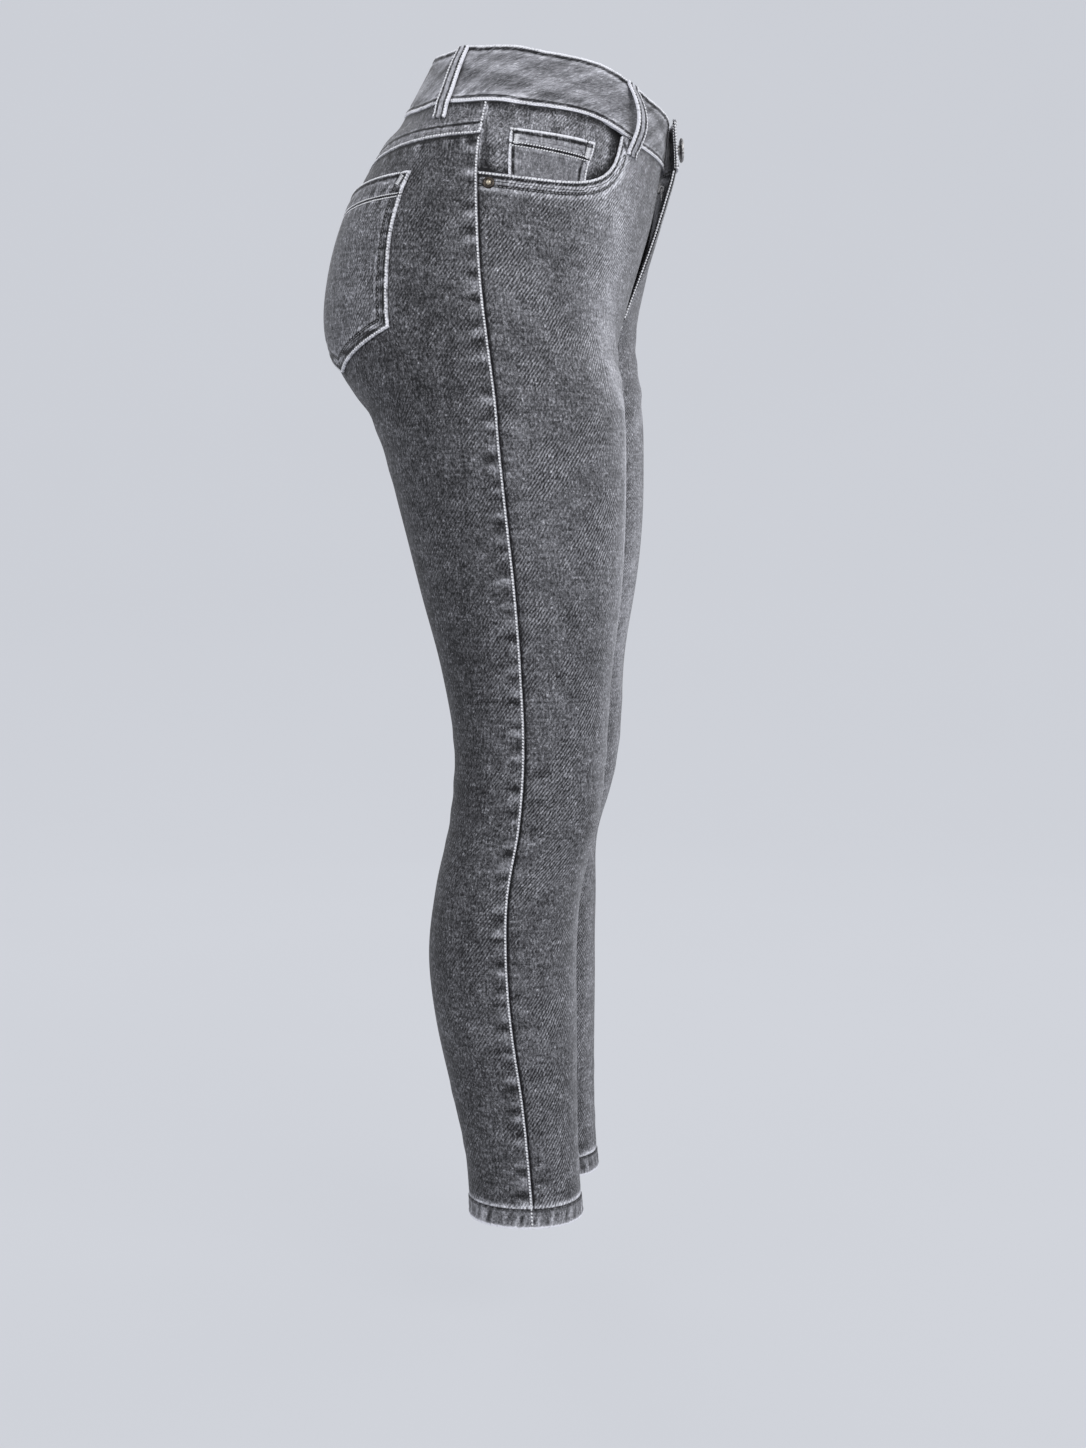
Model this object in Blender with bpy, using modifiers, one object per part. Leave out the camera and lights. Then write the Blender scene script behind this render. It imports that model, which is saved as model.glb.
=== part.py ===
"""Skinny jeans in the shape they take when worn, standing empty: one wall of denim round two legs and a seat.

Axes: +Z up, the front faces -Y, the wearer's right side is at -X. The origin is the middle of the waist
opening.
Every piece of cloth lies on one surface, which section() gives as a ring at any level from waist to hem.
A place on that surface is a side, a level and an arc, the distance along the ring from the centre front.
"""

import functools
import math

import bmesh
import bpy
from mathutils import Matrix, Vector

RIGHT, LEFT = -1, 1

# One row for each section of the worn shape, in metres.
# level is the height of the section where y is 0, and slope is how fast it rises towards the back.
# outer and inner are how far the leg's two sides lie from the centre plane. An inner below 0 is above the
# crotch, where the ring stops at the centre plane. front_crown and back_crown are how far out the fullest
# points lie. front, back and middle are the y of the fullest points and of the widest one, and seam is the
# y of the side seam.
COLUMNS = ("level", "slope", "outer", "inner", "front_crown", "back_crown", "front", "back", "middle", "seam")
SECTIONS = (
    (0.0000, 0.265, 0.1360, -0.1360, 0.0000, 0.0000, -0.0980, 0.0890, 0.0000, 0.018),
    (-0.0465, 0.200, 0.1500, -0.1500, 0.0000, 0.0000, -0.0935, 0.1135, 0.0120, 0.026),
    (-0.0900, 0.140, 0.1620, -0.1220, 0.0150, 0.0100, -0.0875, 0.1385, 0.0260, 0.031),
    (-0.1350, 0.100, 0.1700, -0.0900, 0.0340, 0.0250, -0.0785, 0.1600, 0.0360, 0.030),
    (-0.1800, 0.060, 0.1740, -0.0720, 0.0480, 0.0350, -0.0680, 0.1705, 0.0400, 0.027),
    (-0.2150, 0.030, 0.1745, -0.0440, 0.0620, 0.0580, -0.0625, 0.1665, 0.0400, 0.023),
    (-0.2450, 0.010, 0.1740, -0.0190, 0.0760, 0.0800, -0.0670, 0.1485, 0.0360, 0.019),
    (-0.2700, 0.000, 0.1725, 0.0003, 0.0864, 0.0864, -0.0705, 0.1285, 0.0290, 0.016),
    (-0.3000, 0.000, 0.1690, 0.0040, 0.0865, 0.0865, -0.0715, 0.1165, 0.0230, 0.014),
    (-0.3500, 0.000, 0.1600, 0.0100, 0.0850, 0.0850, -0.0710, 0.1030, 0.0165, 0.010),
    (-0.4100, 0.000, 0.1495, 0.0150, 0.0822, 0.0822, -0.0675, 0.0880, 0.0110, 0.005),
    (-0.4700, 0.000, 0.1390, 0.0190, 0.0790, 0.0790, -0.0600, 0.0725, 0.0070, 0.002),
    (-0.5300, 0.000, 0.1300, 0.0200, 0.0750, 0.0750, -0.0540, 0.0635, 0.0050, 0.001),
    (-0.5850, 0.000, 0.1265, 0.0190, 0.0728, 0.0728, -0.0450, 0.0670, 0.0110, 0.005),
    (-0.6400, 0.000, 0.1270, 0.0165, 0.0718, 0.0718, -0.0345, 0.0785, 0.0220, 0.014),
    (-0.6900, 0.000, 0.1255, 0.0160, 0.0708, 0.0708, -0.0312, 0.0842, 0.0270, 0.015),
    (-0.7400, 0.000, 0.1200, 0.0170, 0.0685, 0.0685, -0.0312, 0.0797, 0.0250, 0.012),
    (-0.8000, 0.000, 0.1105, 0.0185, 0.0645, 0.0645, -0.0310, 0.0675, 0.0190, 0.005),
    (-0.8500, 0.000, 0.1035, 0.0195, 0.0615, 0.0615, -0.0318, 0.0572, 0.0135, 0.001),
    (-0.8975, 0.000, 0.1000, 0.0190, 0.0595, 0.0595, -0.0345, 0.0535, 0.0100, -0.002),
)
# How far the waist seams lie over their plane, by share of the way from the centre front to the centre back.
WAIST_WAVE = (
    (0.00, 0.0),
    (0.17, -0.0015),
    (0.34, 0.0050),
    (0.50, 0.0),
    (0.62, -0.0050),
    (0.73, -0.0095),
    (0.90, -0.0065),
    (1.00, -0.0055),
)
WAVE_ENDS = (-0.052, -0.078)
ROUNDNESS = 2.12
RING_STEPS = 72

# Levels of the seams that run round the body.
WAIST_TOP = 0.0
BAND_SEAM = -0.0465
CROTCH = -0.27
FLY_END = -0.194
HEM_SEAM = -0.8825
HEM_END = -0.8975

# Cloth. The lay gap is what keeps the flat facets of a laid piece clear of the facets under it.
DENIM = 0.0012
BAND_PROUD = 0.0006
BAND_WALL = 0.0026
LAYER_GAP = 0.0008
SEAM_GAP = 0.0003
WAIST_GAP = 0.0005
LAY_GAP = 0.0005

# Front pocket mouth and what lies behind it.
MOUTH_WIDTH = 0.116
MOUTH_DEPTH = 0.055
MOUTH_SQUARENESS = 3.2
FACING_WALL = 0.0010
FACING_SUNK = 0.0038
FACING_SUNK_AT_SEAM = 0.0022
FACING_MARGIN = 0.012
COIN_POCKET = (
    # (forward from the side seam, level) of each corner, anticlockwise
    (0.0235, -0.1065),
    (0.0865, -0.1052),
    (0.0880, -0.0650),
    (0.0210, -0.0668),
)

# Yoke and back pockets. Distances across are along the ring from the centre back, heights are levels.
YOKE_AT_SIDE = 0.027
YOKE_AT_CENTRE = 0.058
BACK_POCKET = (
    # (from the centre back, level) of each corner, anticlockwise: inner foot, point, outer foot, outer top,
    # inner top
    (0.066, -0.220),
    (0.132, -0.242),
    (0.197, -0.215),
    (0.1725, -0.105),
    (0.030, -0.117),
)
POCKET_WALL = 0.0012

# Fly: how far the left front reaches over the centre, how far the right one stops short, and how it stands
# off.
FLAP_OVER = 0.0035
RIGHT_SHORT = 0.0045
FLY_WIDTH = 0.045
FLY_LIFTS = (
    (-0.0465, 0.0120),
    (-0.060, 0.0105),
    (-0.075, 0.0074),
    (-0.095, 0.0045),
    (-0.135, 0.0028),
    (-0.194, 0.0008),
)
FLY_FADE = 0.012
TAB_LIFTS = ((0.0, 0.0060), (-0.0465, 0.0125))
TAB_WIDTH = 0.066
UNDERLAP = 0.033

ZIP_TAPE_HALF = 0.011
ZIP_TAPE_WALL = 0.0006
ZIP_TAPE_SUNK = 0.0021
ZIP_TOP = -0.050
ZIP_BOTTOM = -0.183
SHIELD_SUNK = 0.0030
SHIELD_WALL = 0.0010
SHIELD_RIGHT = 0.020
SHIELD_LEFT = 0.032
SLIDER_LEVEL = -0.0665
SLIDER_LENGTH = 0.0085
SLIDER_HALF = 0.0036
SLIDER_WALL = 0.0030
CROWN_RISE = 0.0028
CROWN_WALL = 0.0009
CROWN_HALF = 0.0010
PULL_LENGTH = 0.0100
PULL_HALF = 0.0026
EYE_LENGTH = 0.0029
PIN_WALL = 0.0008
PIN_RISE = 0.0011
PIN_DROP = -0.0008

LOOP_HALF = 0.006
LOOP_WALL = 0.0015
LOOP_BELOW_BAND = 0.014
LOOPS = (
    # name, side, arc from the centre front (None for the centre back), lean of the foot, stand-off midway
    ("belt_loop_front_right", RIGHT, 0.094, 0.004, 0.0080),
    ("belt_loop_front_left", LEFT, 0.094, 0.004, 0.0080),
    ("belt_loop_side_right", RIGHT, 0.240, -0.021, 0.0022),
    ("belt_loop_side_left", LEFT, 0.240, -0.021, 0.0022),
    ("belt_loop_back", RIGHT, None, 0.0, 0.0022),
)

BUTTON_RADIUS = 0.0100
BUTTON_ARC = 0.013
BUTTON_LEVEL = -0.026
RIVET_RADIUS = 0.0045

PANEL_COLUMNS = 12
MOUTH_COLUMNS = 8
LOW_LEVELS = tuple(HEM_SEAM + SEAM_GAP + (CROTCH - HEM_SEAM - SEAM_GAP) * i / 23 for i in range(24))
FORK_RISES = (0.0008, 0.003, 0.0065, 0.012, 0.019, 0.028, 0.040, 0.052, 0.066, 0.080, 0.092, 0.110, 0.131)
PANEL_LEVELS = LOW_LEVELS + tuple(CROTCH + rise for rise in FORK_RISES)
UPPER_ROWS = 4
FORK_TOP = -0.170
STEADY_SHARE = 0.75


def ease(t):
    """0 below 0, 1 above 1, and a smooth step between."""
    t = min(1.0, max(0.0, t))
    return t * t * (3 - 2 * t)


def mix(a, b, t):
    return a + (b - a) * t


def along(table, level):
    """The value that a table of (level, value) rows, from the top down, has at a level."""
    for (upper, first), (lower, second) in zip(table, table[1:]):
        if level >= lower:
            return mix(first, second, min(1.0, (upper - level) / (upper - lower)))
    return table[-1][1]


def column(name, level):
    """One column of SECTIONS at any level, on a smooth curve through its rows."""
    k = COLUMNS.index(name)
    rows = SECTIONS
    level = min(rows[0][0], max(rows[-1][0], level))
    i = next(i for i in range(len(rows) - 1) if level >= rows[i + 1][0])
    span = rows[i][0] - rows[i + 1][0]

    def steepness(j):
        above, below = max(0, j - 1), min(len(rows) - 1, j + 1)
        return (rows[above][k] - rows[below][k]) / (rows[above][0] - rows[below][0])

    t = (rows[i][0] - level) / span
    start, end = rows[i][k], rows[i + 1][k]
    into, out = -steepness(i) * span, -steepness(i + 1) * span
    return (
        (2 * t**3 - 3 * t**2 + 1) * start
        + (t**3 - 2 * t**2 + t) * into
        + (3 * t**2 - 2 * t**3) * end
        + (t**3 - t**2) * out
    )


class Section:
    """One ring of the worn shape on the left side, from its front edge round the outside to its back edge."""

    def __init__(self, level):
        self.level = level
        self.at = {name: column(name, level) for name in COLUMNS[1:]}
        edge = SEAM_GAP / 2
        starts = [self.clip(self.at["front_crown"], edge), self.clip(self.at["back_crown"], edge)]
        first, last = starts[0], 2 * math.pi - starts[1]
        self.points = [self.point(mix(first, last, i / (2 * RING_STEPS))) for i in range(2 * RING_STEPS + 1)]
        self.arcs = [0.0]
        for a, b in zip(self.points, self.points[1:]):
            self.arcs.append(self.arcs[-1] + math.dist(a, b))
        self.seam = self.seam_arc()

    def clip(self, crown, edge):
        """The angle at which the ring leaves the centre plane, or 0 below the crotch."""
        reach = crown - self.at["inner"]
        if self.at["inner"] >= edge:
            return 0.0
        return math.acos(min(1.0, max(0.0, (crown - edge) / reach) ** (ROUNDNESS / 2)))

    def point(self, angle):
        """(x, y) of the ring. 0 is the inner side, a quarter turn the front, a half turn the outer side."""
        c, s = math.cos(angle), math.sin(angle)
        crown = self.at["front_crown"] if s >= 0 else self.at["back_crown"]
        width = crown - self.at["inner"] if c >= 0 else self.at["outer"] - crown
        depth = self.at["middle"] - (self.at["front"] if s >= 0 else self.at["back"])
        power = 2 / ROUNDNESS
        x = crown - math.copysign(abs(c) ** power, c) * width
        y = self.at["middle"] - abs(s) ** power * depth
        return x, y

    def seam_arc(self):
        """The arc at which the side seam crosses the ring."""
        for i, (a, b) in enumerate(zip(self.points, self.points[1:])):
            outside = a[0] > 0.7 * self.at["outer"] and b[0] > 0.7 * self.at["outer"]
            if outside and a[1] <= self.at["seam"] <= b[1]:
                return mix(self.arcs[i], self.arcs[i + 1], (self.at["seam"] - a[1]) / (b[1] - a[1]))
        raise ValueError(f"no side seam at level {self.level}")

    @property
    def length(self):
        return self.arcs[-1]

    def place(self, arc):
        """The point at an arc. Past the centre plane it runs on to the other side."""
        sign = 1
        if arc < 0 and self.at["inner"] < 0:
            arc, sign = -arc, -1
        arc = min(self.length, max(0.0, arc))
        low, high = 0, len(self.arcs) - 1
        while high - low > 1:
            half = (low + high) // 2
            low, high = (half, high) if self.arcs[half] <= arc else (low, half)
        t = (arc - self.arcs[low]) / (self.arcs[high] - self.arcs[low])
        x, y = (mix(p, q, t) for p, q in zip(self.points[low], self.points[high]))
        return Vector((sign * x, y, self.level + self.at["slope"] * y + self.wave(arc / self.length)))

    def wave(self, share):
        """How far a place lies over the ring's plane. It fades out below the waistband."""
        top, bottom = WAVE_ENDS
        for (low, first), (high, second) in zip(WAIST_WAVE, WAIST_WAVE[1:]):
            if share <= high:
                height = mix(first, second, ease((share - low) / (high - low)))
                return height * ease((self.level - bottom) / (top - bottom))
        return 0.0


@functools.lru_cache(maxsize=None)
def section(level):
    return Section(level)


def surface(side, level, arc, out=0.0):
    """A point of the worn shape, moved out along its normal. Near the centre the normal turns ahead."""
    ring = section(level)
    place = ring.place(arc)
    reach = 0.0015
    far = ring.length
    across = ring.place(min(far, arc + reach)) - ring.place(max(0.0 if level < CROTCH else -far, arc - reach))
    step = 0.0004 if level < CROTCH else 0.0006
    above, below = section(min(WAIST_TOP, level + step)), section(max(HEM_END, level - step))
    up = above.place(arc * above.length / far) - below.place(arc * below.length / far)
    normal = across.cross(up).normalized()
    core = Vector((ring.at["front_crown"], ring.at["middle"], place.z))
    if normal.dot(place - core) < 0:
        normal.negate()
    if arc < 0.5 * ring.seam and level > FLY_END:
        normal.x *= ease(abs(place.x) / 0.02)
        normal.normalize()
    made = place + normal * out
    if level > CROTCH and arc >= 0:
        made.x = max(made.x, SEAM_GAP / 2)
    return Vector((side * made.x, made.y, made.z))


def material(name, colour, roughness, metallic=0.0):
    made = bpy.data.materials.new(name)
    made.use_nodes = True
    shader = made.node_tree.nodes["Principled BSDF"]
    shader.inputs["Base Color"].default_value = (*colour, 1.0)
    shader.inputs["Roughness"].default_value = roughness
    shader.inputs["Metallic"].default_value = metallic
    made.diffuse_color = (*colour, 1.0)
    return made


def add(name, mesh, finish, parts):
    made = bpy.data.objects.new(name, mesh)
    mesh.materials.append(finish)
    parts.objects.link(made)
    return made


def wall(name, outer, inner, finish, parts, closed=False):
    """A closed solid between two grids of points, outer and inner, each a list of rows.

    closed joins the last column to the first.
    """
    shape = bmesh.new()
    grids = [[[shape.verts.new(p) for p in row] for row in grid] for grid in (outer, inner)]
    rows, columns = len(outer), len(outer[0])
    steps = range(columns if closed else columns - 1)
    for grid in grids:
        for i in range(rows - 1):
            for j in steps:
                k = (j + 1) % columns
                shape.faces.new((grid[i][j], grid[i][k], grid[i + 1][k]))
                shape.faces.new((grid[i][j], grid[i + 1][k], grid[i + 1][j]))
    front, behind = grids
    for i in (0, rows - 1):
        for j in steps:
            k = (j + 1) % columns
            shape.faces.new((front[i][j], front[i][k], behind[i][k], behind[i][j]))
    for j in () if closed else (0, columns - 1):
        for i in range(rows - 1):
            shape.faces.new((front[i][j], front[i + 1][j], behind[i + 1][j], behind[i][j]))
    bmesh.ops.recalc_face_normals(shape, faces=shape.faces)
    mesh = bpy.data.meshes.new(name)
    shape.to_mesh(mesh)
    shape.free()
    mesh.shade_smooth()
    return add(name, mesh, finish, parts)


def laid(name, side, rows, out, thickness, finish, parts, closed=False):
    """A wall through rows of (level, arc) places.

    out gives the height of its outer face over the worn shape at each place.
    """
    outer = [[surface(side, level, arc, out(level, arc)) for level, arc in row] for row in rows]
    inner = [[surface(side, level, arc, out(level, arc) - thickness) for level, arc in row] for row in rows]
    return wall(name, outer, inner, finish, parts, closed)


def host_corner(side, level, arc, out, across):
    """A corner of a panel that something is laid on: its place in the flat cut, outer point and normal."""
    point = surface(side, level, arc, out)
    normal = (surface(side, level, arc, out + 0.001) - point).normalized()
    return (across, level), point, normal


def cut_by_line(corners, start, end):
    """The part of a polygon of host corners that lies left of a line in the flat cut."""
    along_x, along_y = end[0] - start[0], end[1] - start[1]

    def height(corner):
        return along_x * (corner[0][1] - start[1]) - along_y * (corner[0][0] - start[0])

    kept = []
    for a, b in zip(corners, corners[1:] + corners[:1]):
        high, low = height(a), height(b)
        if high >= 0:
            kept.append(a)
        if (high > 0 > low) or (high < 0 < low):
            t = high / (high - low)
            flat = (mix(a[0][0], b[0][0], t), mix(a[0][1], b[0][1], t))
            kept.append((flat, a[1].lerp(b[1], t), a[2].lerp(b[2], t)))
    return kept


def patch(name, host, outline, rise, thickness, finish, parts):
    """A patch laid on a panel. It takes the panel's own facets inside an outline, moved out by its rise.

    host is a grid of corners and outline a convex line round the patch, anticlockwise in the flat cut.
    """
    shape = bmesh.new()
    welded = {}

    def pair(corner):
        key = tuple(round(value, 6) for value in corner[0])
        if key not in welded:
            point, normal = corner[1:]
            welded[key] = [shape.verts.new(point + normal * out) for out in (rise + thickness, rise)]
        return welded[key]

    edges = {}
    for low, high in zip(host, host[1:]):
        for j in range(len(low) - 1):
            for corners in ([low[j], low[j + 1], high[j + 1]], [low[j], high[j + 1], high[j]]):
                for start, end in zip(outline, outline[1:] + outline[:1]):
                    corners = cut_by_line(corners, start, end)
                pairs = []
                for corner in corners:
                    made = pair(corner)
                    if made not in pairs:
                        pairs.append(made)
                if len(pairs) < 3:
                    continue
                shape.faces.new([made[0] for made in pairs])
                shape.faces.new([made[1] for made in reversed(pairs)])
                for a, b in zip(pairs, pairs[1:] + pairs[:1]):
                    edges.setdefault(frozenset((id(a), id(b))), []).append((a, b))
    for used in edges.values():
        if len(used) == 1:
            a, b = used[0]
            shape.faces.new((a[0], a[1], b[1], b[0]))
    bmesh.ops.recalc_face_normals(shape, faces=shape.faces)
    mesh = bpy.data.meshes.new(name)
    shape.to_mesh(mesh)
    shape.free()
    mesh.shade_smooth()
    return add(name, mesh, finish, parts)


def fly_lift(level, arc):
    """How far the left front stands off over the zip."""
    fade = ease((level - FLY_END + FLY_FADE) / FLY_FADE) * (1 - ease(arc / FLY_WIDTH))
    return along(FLY_LIFTS, level) * fade


def fly_share(level):
    """1 beside the fly, 0 below its end."""
    return ease((level - FLY_END) / FLY_FADE)


def mouth_place(share):
    """(level, arc back from the side seam) of the pocket mouth, from its front end at the waistband.

    At 1 it is the side seam.
    """
    power = 2 / MOUTH_SQUARENESS
    line = [(0.0, MOUTH_WIDTH)]
    lengths = [0.0]
    for i in range(1, 241):
        angle = i * math.pi / 480
        back = MOUTH_WIDTH * max(0.0, math.cos(angle)) ** power
        line.append((MOUTH_DEPTH * math.sin(angle) ** power, back))
        lengths.append(lengths[-1] + math.dist(line[-2], line[-1]))
    i = next(i for i in range(len(line) - 1) if lengths[i + 1] >= share * lengths[-1] - 1e-9)
    t = (share * lengths[-1] - lengths[i]) / (lengths[i + 1] - lengths[i])
    depth, back = (mix(a, b, t) for a, b in zip(line[i], line[i + 1]))
    return BAND_SEAM - WAIST_GAP - depth, back


def inseam_inset(level):
    """How far a panel's edge stops short of the inseam, which begins at the crotch."""
    return SEAM_GAP / 2 if level < CROTCH + 1e-6 else 0.0


def from_seam(level, share, reach):
    """How far from the side seam a column of a panel lies: share 0 is the seam and 1 the panel's inner edge.

    reach gives the whole width at a level. Above the crotch it shortens fast, and only the columns past
    STEADY_SHARE follow it at once, so that the others run straight through the crotch's level.
    """
    width = reach(level)
    if level <= CROTCH:
        return width * share
    steady = mix(width, reach(CROTCH), ease((FORK_TOP - level) / (FORK_TOP - CROTCH)))
    if share <= STEADY_SHARE:
        return steady * share
    return mix(steady * STEADY_SHARE, width, (share - STEADY_SHARE) / (1 - STEADY_SHARE))


def front_reach(level):
    return section(level).seam


def back_reach(level):
    return section(level).length - section(level).seam


def front_panel(side, finish, parts):
    """The front of one leg, cut away for the pocket mouth, and shaped at the centre for the fly."""
    tops = []
    straight = PANEL_COLUMNS - MOUTH_COLUMNS
    level = BAND_SEAM - WAIST_GAP
    mouth_front = section(level).seam - MOUTH_WIDTH
    for j in range(straight):
        tops.append((level, mouth_front * j / straight))
    for j in range(MOUTH_COLUMNS + 1):
        top, back_arc = mouth_place(j / MOUTH_COLUMNS)
        tops.append((top, section(top).seam - back_arc))
    rows = []
    for level in PANEL_LEVELS:
        shares = [1 - j / PANEL_COLUMNS for j in range(PANEL_COLUMNS + 1)]
        rows.append([(level, section(level).seam - from_seam(level, share, front_reach)) for share in shares])
    low = PANEL_LEVELS[-1]
    for i in range(1, UPPER_ROWS + 1):
        t = i / UPPER_ROWS
        row = []
        for j, (top, arc) in enumerate(tops):
            level = mix(low, top, t)
            share = mix(j / PANEL_COLUMNS, arc / section(top).seam, ease(t))
            row.append((level, section(level).seam * share))
        rows.append(row)
    shift = -FLAP_OVER if side == LEFT else RIGHT_SHORT
    placed = []
    for row in rows:
        moved = []
        for level, arc in row:
            arc = min(section(level).seam - SEAM_GAP / 2, max(inseam_inset(level), arc))
            arc += shift * fly_share(level) * max(0.0, 1 - arc / FLY_WIDTH)
            moved.append((level, arc))
        placed.append(moved)
    name = "front_left" if side == LEFT else "front_right"
    lift = fly_lift if side == LEFT else lambda level, arc: 0.0
    return laid(name, side, placed, lift, DENIM, finish, parts)


def yoke_level(share):
    """The level of the yoke seam. 0 is the side seam and 1 the centre back."""
    return BAND_SEAM - mix(YOKE_AT_SIDE, YOKE_AT_CENTRE, share)


def back_arc(level, share):
    """The arc of a place on the back: 0 is the side seam and 1 the centre back or the inseam."""
    ring = section(level)
    arc = ring.seam + from_seam(level, share, back_reach)
    return min(ring.length - inseam_inset(level), max(ring.seam + SEAM_GAP / 2, arc))


def back_panel(side, finish, parts):
    shares = [j / PANEL_COLUMNS for j in range(PANEL_COLUMNS + 1)]
    rows = [[(level, back_arc(level, share)) for share in shares] for level in PANEL_LEVELS]
    low = PANEL_LEVELS[-1]
    for i in range(1, UPPER_ROWS + 1):
        levels = [mix(low, yoke_level(share) - SEAM_GAP / 2, i / UPPER_ROWS) for share in shares]
        rows.append([(level, back_arc(level, share)) for level, share in zip(levels, shares)])
    name = "back_left" if side == LEFT else "back_right"
    laid(name, side, rows, lambda level, arc: 0.0, DENIM, finish, parts)
    return [
        [host_corner(side, level, arc, 0.0, section(level).length - arc) for level, arc in row]
        for row in rows
    ]


def yoke(side, finish, parts):
    shares = [j / PANEL_COLUMNS for j in range(PANEL_COLUMNS + 1)]
    rows = []
    for i in range(5):
        row = []
        for share in shares:
            level = mix(yoke_level(share) + SEAM_GAP / 2, BAND_SEAM - WAIST_GAP, i / 4)
            row.append((level, back_arc(level, share)))
        rows.append(row)
    name = "yoke_left" if side == LEFT else "yoke_right"
    return laid(name, side, rows, lambda level, arc: 0.0, DENIM, finish, parts)


def mouth_level(arc_back):
    """The level of the pocket mouth's edge at an arc back from the side seam."""
    share = min(1.0, max(0.0, arc_back / MOUTH_WIDTH))
    return BAND_SEAM - WAIST_GAP - MOUTH_DEPTH * (1 - share**MOUTH_SQUARENESS) ** (1 / MOUTH_SQUARENESS)


def facing_out(level, arc):
    """The facing dips under the edge of the pocket mouth and comes level with the front above it."""
    arc_back = section(level).seam - arc
    above_edge = level - mouth_level(arc_back)
    behind_edge = MOUTH_WIDTH - arc_back
    sunk = mix(FACING_SUNK_AT_SEAM, FACING_SUNK, ease(arc_back / 0.02))
    return -sunk * (1 - ease((above_edge - 0.006) / 0.022) * ease((behind_edge - 0.006) / 0.022))


def facing_rows(first_arc, last_arc, top, bottom, rows, columns):
    """A grid of places on the facing. Arcs are measured forward from the side seam."""
    made = []
    for i in range(rows + 1):
        level = mix(bottom, top, i / rows)
        seam = section(level).seam
        made.append([(level, seam - mix(last_arc, first_arc, j / columns)) for j in range(columns + 1)])
    return made


def pocket_facing(side, finish, parts):
    top = BAND_SEAM - WAIST_GAP
    bottom = top - MOUTH_DEPTH - FACING_MARGIN
    rows = facing_rows(SEAM_GAP / 2, MOUTH_WIDTH + FACING_MARGIN, top, bottom, 6, 10)
    name = "pocket_facing_left" if side == LEFT else "pocket_facing_right"
    laid(name, side, rows, facing_out, FACING_WALL, finish, parts)
    return [
        [
            host_corner(side, level, arc, facing_out(level, arc), section(level).seam - arc)
            for level, arc in row
        ]
        for row in rows
    ]


def coin_pocket(facing, finish, parts):
    """The small patch pocket on the right facing."""
    return patch("coin_pocket", facing, list(COIN_POCKET), SEAM_GAP, FACING_WALL, finish, parts)


def back_pocket(side, host, finish, parts):
    """A patch pocket with a pointed foot, laid on the back panel."""
    name = "back_pocket_left" if side == LEFT else "back_pocket_right"
    return patch(name, host, list(BACK_POCKET), SEAM_GAP, POCKET_WALL, finish, parts)


def tab_lift(level, arc):
    """How far the left end of the waistband stands off over the right end."""
    return along(TAB_LIFTS, level) * (1 - ease(arc / TAB_WIDTH))


def waistband(finish, parts):
    """One band from the left end at the fly, round the back, to the right end under it."""
    levels = [mix(BAND_SEAM, WAIST_TOP, i / 3) for i in range(4)]
    outer, inner = [], []
    for level in levels:
        ring = section(level)
        spots = [(LEFT, arc) for arc in (-FLAP_OVER, 0.009, 0.021, 0.033, 0.048, 0.066, 0.088, 0.112)]
        count = 14
        spots += [(LEFT, mix(0.137, ring.length, i / count)) for i in range(count)]
        spots += [(RIGHT, mix(ring.length, 0.137, i / count)) for i in range(count + 1)]
        spots += [(RIGHT, arc) for arc in (0.112, 0.088, 0.066, 0.048, 0.033, 0.018, 0.0, -0.016, -UNDERLAP)]
        out_row, in_row = [], []
        for side, arc in spots:
            lift = tab_lift(level, arc) if side == LEFT else 0.0
            centre_back = abs(arc - ring.length) < 1e-6
            points = [surface(side, level, arc, out + lift) for out in (BAND_PROUD, BAND_PROUD - BAND_WALL)]
            if centre_back:
                for p in points:
                    p.x = 0.0
            out_row.append(points[0])
            in_row.append(points[1])
        outer.append(out_row)
        inner.append(in_row)
    return wall("waistband", outer, inner, finish, parts)


def hem(side, finish, parts):
    """The turned-up hem, three layers thick, all round one leg."""
    rows = []
    for i in range(3):
        level = mix(HEM_END, HEM_SEAM, i / 2)
        length = section(level).length
        rows.append([(level, length * j / (2 * PANEL_COLUMNS)) for j in range(2 * PANEL_COLUMNS)])
    name = "hem_left" if side == LEFT else "hem_right"
    return laid(name, side, rows, lambda level, arc: BAND_PROUD, BAND_WALL, finish, parts, closed=True)


def belt_loop(name, side, arc, lean, stand_off, finish, parts):
    """A strip sewn down at both ends, standing off the waistband between them. Its foot leans forward."""
    steps = 8
    top, bottom = WAIST_TOP - 0.001, BAND_SEAM - LOOP_BELOW_BAND
    outer, inner = [], []
    for i in range(steps + 1):
        t = i / steps
        level = mix(bottom, top, t)
        ring = section(level)
        middle = ring.length if arc is None else arc
        if arc is not None:
            middle -= lean * (1 - t)
        bow = max(0.0, math.sin(math.pi * ease(t))) ** 1.2
        over_band = ease((level - BAND_SEAM + 0.012) / 0.010)
        rise = LAY_GAP + BAND_PROUD * over_band + stand_off * bow
        out_row, in_row = [], []
        for across in (-LOOP_HALF, 0.0, LOOP_HALF):
            spot = middle + across
            owner = side
            if arc is None:
                owner, spot = (LEFT, ring.length + across) if across < 0 else (RIGHT, ring.length - across)
            points = [surface(owner, level, spot, rise + deep) for deep in (LOOP_WALL, 0.0)]
            if arc is None and across == 0.0:
                for p in points:
                    p.x = 0.0
            out_row.append(points[0])
            in_row.append(points[1])
        outer.append(out_row)
        inner.append(in_row)
    return wall(name, outer, inner, finish, parts)


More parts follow.
